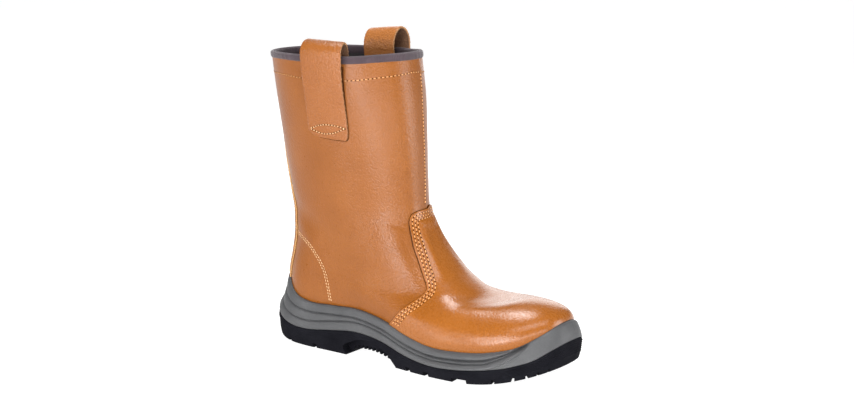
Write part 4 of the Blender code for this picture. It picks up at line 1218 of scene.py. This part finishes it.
def sewn(lines, pitch, length, thick, lift, hole):
    """Stitches and dark discs of painted shade at the needle holes along lines of (points, outward
    directions), as two lists of solids.
    """
    threads, shade_discs = [], []
    for points, normals in lines:
        both = resample(np.concatenate([points, normals], axis=1), pitch / 4.0)
        for k in range(2, len(both) - 2, 4):
            normal = unit(both[k, 3:])
            along = unit(both[k + 2, :3] - both[k - 2, :3])
            axes = np.stack([along, np.cross(normal, along), normal])
            base, faces = PILL
            shape = base * (length, thick, FLATTER * thick)
            shape[:, 2] += lift - ARCH_DROP * (2.0 * base[:, 0]) ** 4
            threads.append((both[k, :3] + shape @ axes, faces))
            if hole:
                base, faces = BEAD
                shape = base * (hole, hole, HOLE_DEPTH) + (0.0, 0.0, HOLE_LIFT)
                shade_discs.append((both[k + 2, :3] + shape @ axes, faces))
    return threads, shade_discs


def beside(points, normals, distance):
    """The same line moved sideways over the surface."""
    return on_skin(points + distance * np.cross(normals, unit(np.gradient(points, axis=0))))


def vamp_rows():
    """Three rows of stitches inside the overlay's rear edge."""
    line, inward = vamp_edge_frame()
    rows = []
    for far in VAMP_ROWS:
        points, out = on_skin(line + far * inward)
        keep = distance_to(points, VAMP_LINE) > far - ROW_SLACK
        keep &= points[:, 2] > side_value("rim_z", points[:, 0]) + ROW_CLEAR
        points, out = points[keep], out[keep]
        rows.append((points + vamp_height(far, swell_share(points))[:, None] * out, out))
    return rows


def lens_rows(*place):
    """Leaf of stitches that holds a loop's outer end."""
    places = np.linspace(0.0, 4.0, 161)
    widths = np.linspace(-0.5, 0.5, 61)
    inner, thick = loop_frame(*place, places, widths)
    drop = catmull(LOOP_PATH, places)[:, 0]
    rows = []
    for bow in (-1.0, 1.0):
        points, normals = [], []
        for t in np.linspace(0.0, 1.0, 40):
            here = LENS_DROP + bow * LENS_BOW * math.sin(math.pi * t) - LENS_TILT * (t - 0.5)
            i = int(np.argmin(np.abs(drop - here)))
            j = int(round((LENS_START + LENS_LENGTH * t) * (len(widths) - 1)))
            points.append(inner[i, j] + (LOOP_THICK + 0.05) * thick[i, j])
            normals.append(thick[i, j])
        rows.append((np.array(points), np.array(normals)))
    return rows


def make_stitches():
    """All seams as joined threads and the painted shade of their needle holes."""
    counter, strip = [], []
    for side in (-1, 1):
        points, out = on_skin(curve(COUNTER_LINE, LINE_STEP), side)
        counter += [beside(points, out, shift) for shift in (-COUNTER_SHIFT, COUNTER_SHIFT)]
        u, v = strip_shares(STRIP_SEAM * side, np.linspace(0.01, 0.985, 160))
        strip.append((skin(u, v, STRIP_LIFT + STRIP_THICK), unit(sample(SKIN_OUT, u, v))))
    u = np.linspace(0.0, 1.0, 500)
    v = drop_share(np.interp(0.5 - np.abs(u - 0.5), *COLLAR_SEAM))
    lines = {
        "vamp": vamp_rows(),
        "counter": counter,
        "collar": [(skin(u, v), unit(sample(SKIN_OUT, u, v)))],
        "front": [on_skin(curve(FRONT_SEAM, LINE_STEP))],
        "back": strip,
        "loops": [row for place in LOOPS.values() for row in lens_rows(*place)],
    }
    for name, sizes in STITCHES.items():
        threads, shade_discs = sewn(lines[name], *sizes)
        thread = PALE_THREAD if name in ("counter", "loops") else THREAD
        add_piece(f"stitches_{name}", *joined(threads), [thread])
        if shade_discs:
            add_piece(f"needle_holes_{name}", *joined(shade_discs), [HOLE_SHADE])


# Stage, light and camera.

CAMERA_AZ, CAMERA_EL, CAMERA_FAR = 35.44, 11.29, 1.3
SENSOR, FOCAL_PIXELS, PHOTO_PIXELS = 36.0, 1478.85, 854.0
TARGET = (np.array([159.67, 0.0, 138.08]) - ORIGIN) * MM
WHITE = (1.0, 1.0, 1.0, 1.0)
FLOOR_RADIUS, FLOOR_SIDES, FLOOR_GLOW = 30.0, 32, 0.95
SURROUND = 0.16
# Soft boxes: azimuth, elevation, distance, width, height and power.
LIGHT_CENTRE = (0.0, 0.0, 0.13)
LIGHTS = {
    "soft_front": (10.0, 9.5, 1.5, 0.5, 0.6, 11.0),
    "soft_near": (-6.0, 12.5, 1.3, 0.3, 0.3, 2.6),
    "soft_fill": (-38.0, 12.0, 1.2, 0.3, 0.3, 1.6),
    "soft_side": (57.0, 3.0, 1.4, 1.25, 0.22, 7.4),
    "soft_high": (52.0, 50.0, 1.4, 1.5, 0.3, 12.0),
    "soft_low": (22.0, -5.0, 0.62, 0.4, 0.14, 1.5),
    "soft_low_left": (-22.0, -9.0, 0.6, 0.25, 0.06, 0.4),
    "soft_left": (-75.0, 25.0, 1.6, 1.2, 1.2, 0.3),
    "soft_top": (-115.0, 80.0, 1.3, 0.46, 0.46, 14.0),
    "soft_right": (118.0, 5.0, 1.4, 0.6, 0.7, 10.8),
    "soft_back": (-148.0, 16.0, 1.8, 1.6, 1.0, 13.5),
}


def face(item, centre, azimuth, elevation, far):
    """Put an item at a distance and turn it to a centre: azimuth 0 is the outer side, 90 the toe."""
    a, e = math.radians(azimuth), math.radians(elevation)
    way = Vector((math.sin(a) * math.cos(e), -math.cos(a) * math.cos(e), math.sin(e)))
    item.location = Vector(centre) + far * way
    item.rotation_euler = (-way).to_track_quat("-Z", "Y").to_euler()


def area_light(name, azimuth, elevation, far, width, height, power):
    """Soft box that faces the boot."""
    light = bpy.data.lights.new(name, "AREA")
    light.shape = "RECTANGLE"
    light.size, light.size_y = width, height
    light.energy = power
    item = placed(name, light)
    face(item, LIGHT_CENTRE, azimuth, elevation, far)
    item.visible_camera = False


def make_stage():
    """Pale floor, soft boxes, a light surround and the photograph's camera."""
    material, tree, shader, place = tree_of("pale_floor")
    tone = noise(tree, place, 3.0, 2.0)
    colour = ramp(tree, tone, ((0.3, (0.24, 0.24, 0.24)), (0.7, (0.26, 0.26, 0.26))))
    feed(shader, Base_Color=colour, Roughness=0.7, Emission_Color=WHITE, Emission_Strength=FLOOR_GLOW)
    mesh = bpy.data.meshes.new("floor")
    turns = [2.0 * math.pi * k / FLOOR_SIDES for k in range(FLOOR_SIDES)]
    corners = [(FLOOR_RADIUS * math.cos(turn), FLOOR_RADIUS * math.sin(turn), 0.0) for turn in turns]
    mesh.from_pydata(corners, [], [tuple(range(FLOOR_SIDES))])
    mesh.materials.append(material)
    floor = placed("floor", mesh)

    for name, sizes in LIGHTS.items():
        area_light(name, *sizes)

    world = bpy.data.worlds.new("surround")
    bpy.context.scene.world = world
    world.use_nodes = True
    feed(world.node_tree.nodes["Background"], Color=WHITE, Strength=SURROUND)

    camera = bpy.data.cameras.new("camera")
    camera.lens = SENSOR * FOCAL_PIXELS / PHOTO_PIXELS
    camera.sensor_width = SENSOR
    camera.clip_start = 0.05
    item = placed("camera", camera)
    face(item, TARGET, CAMERA_AZ, CAMERA_EL, CAMERA_FAR)
    bpy.context.scene.camera = item
    bpy.context.scene.view_settings.view_transform = "Standard"


make_stage()
make_upper()
make_lining()
make_insole()
make_vamp()
make_back_strip()
make_edge_shadows()
make_binding()
for loop_name, loop_place in LOOPS.items():
    make_loop(loop_name.replace("loop", "strap"), *loop_place)
make_midsole()
make_outsole()
make_stitches()
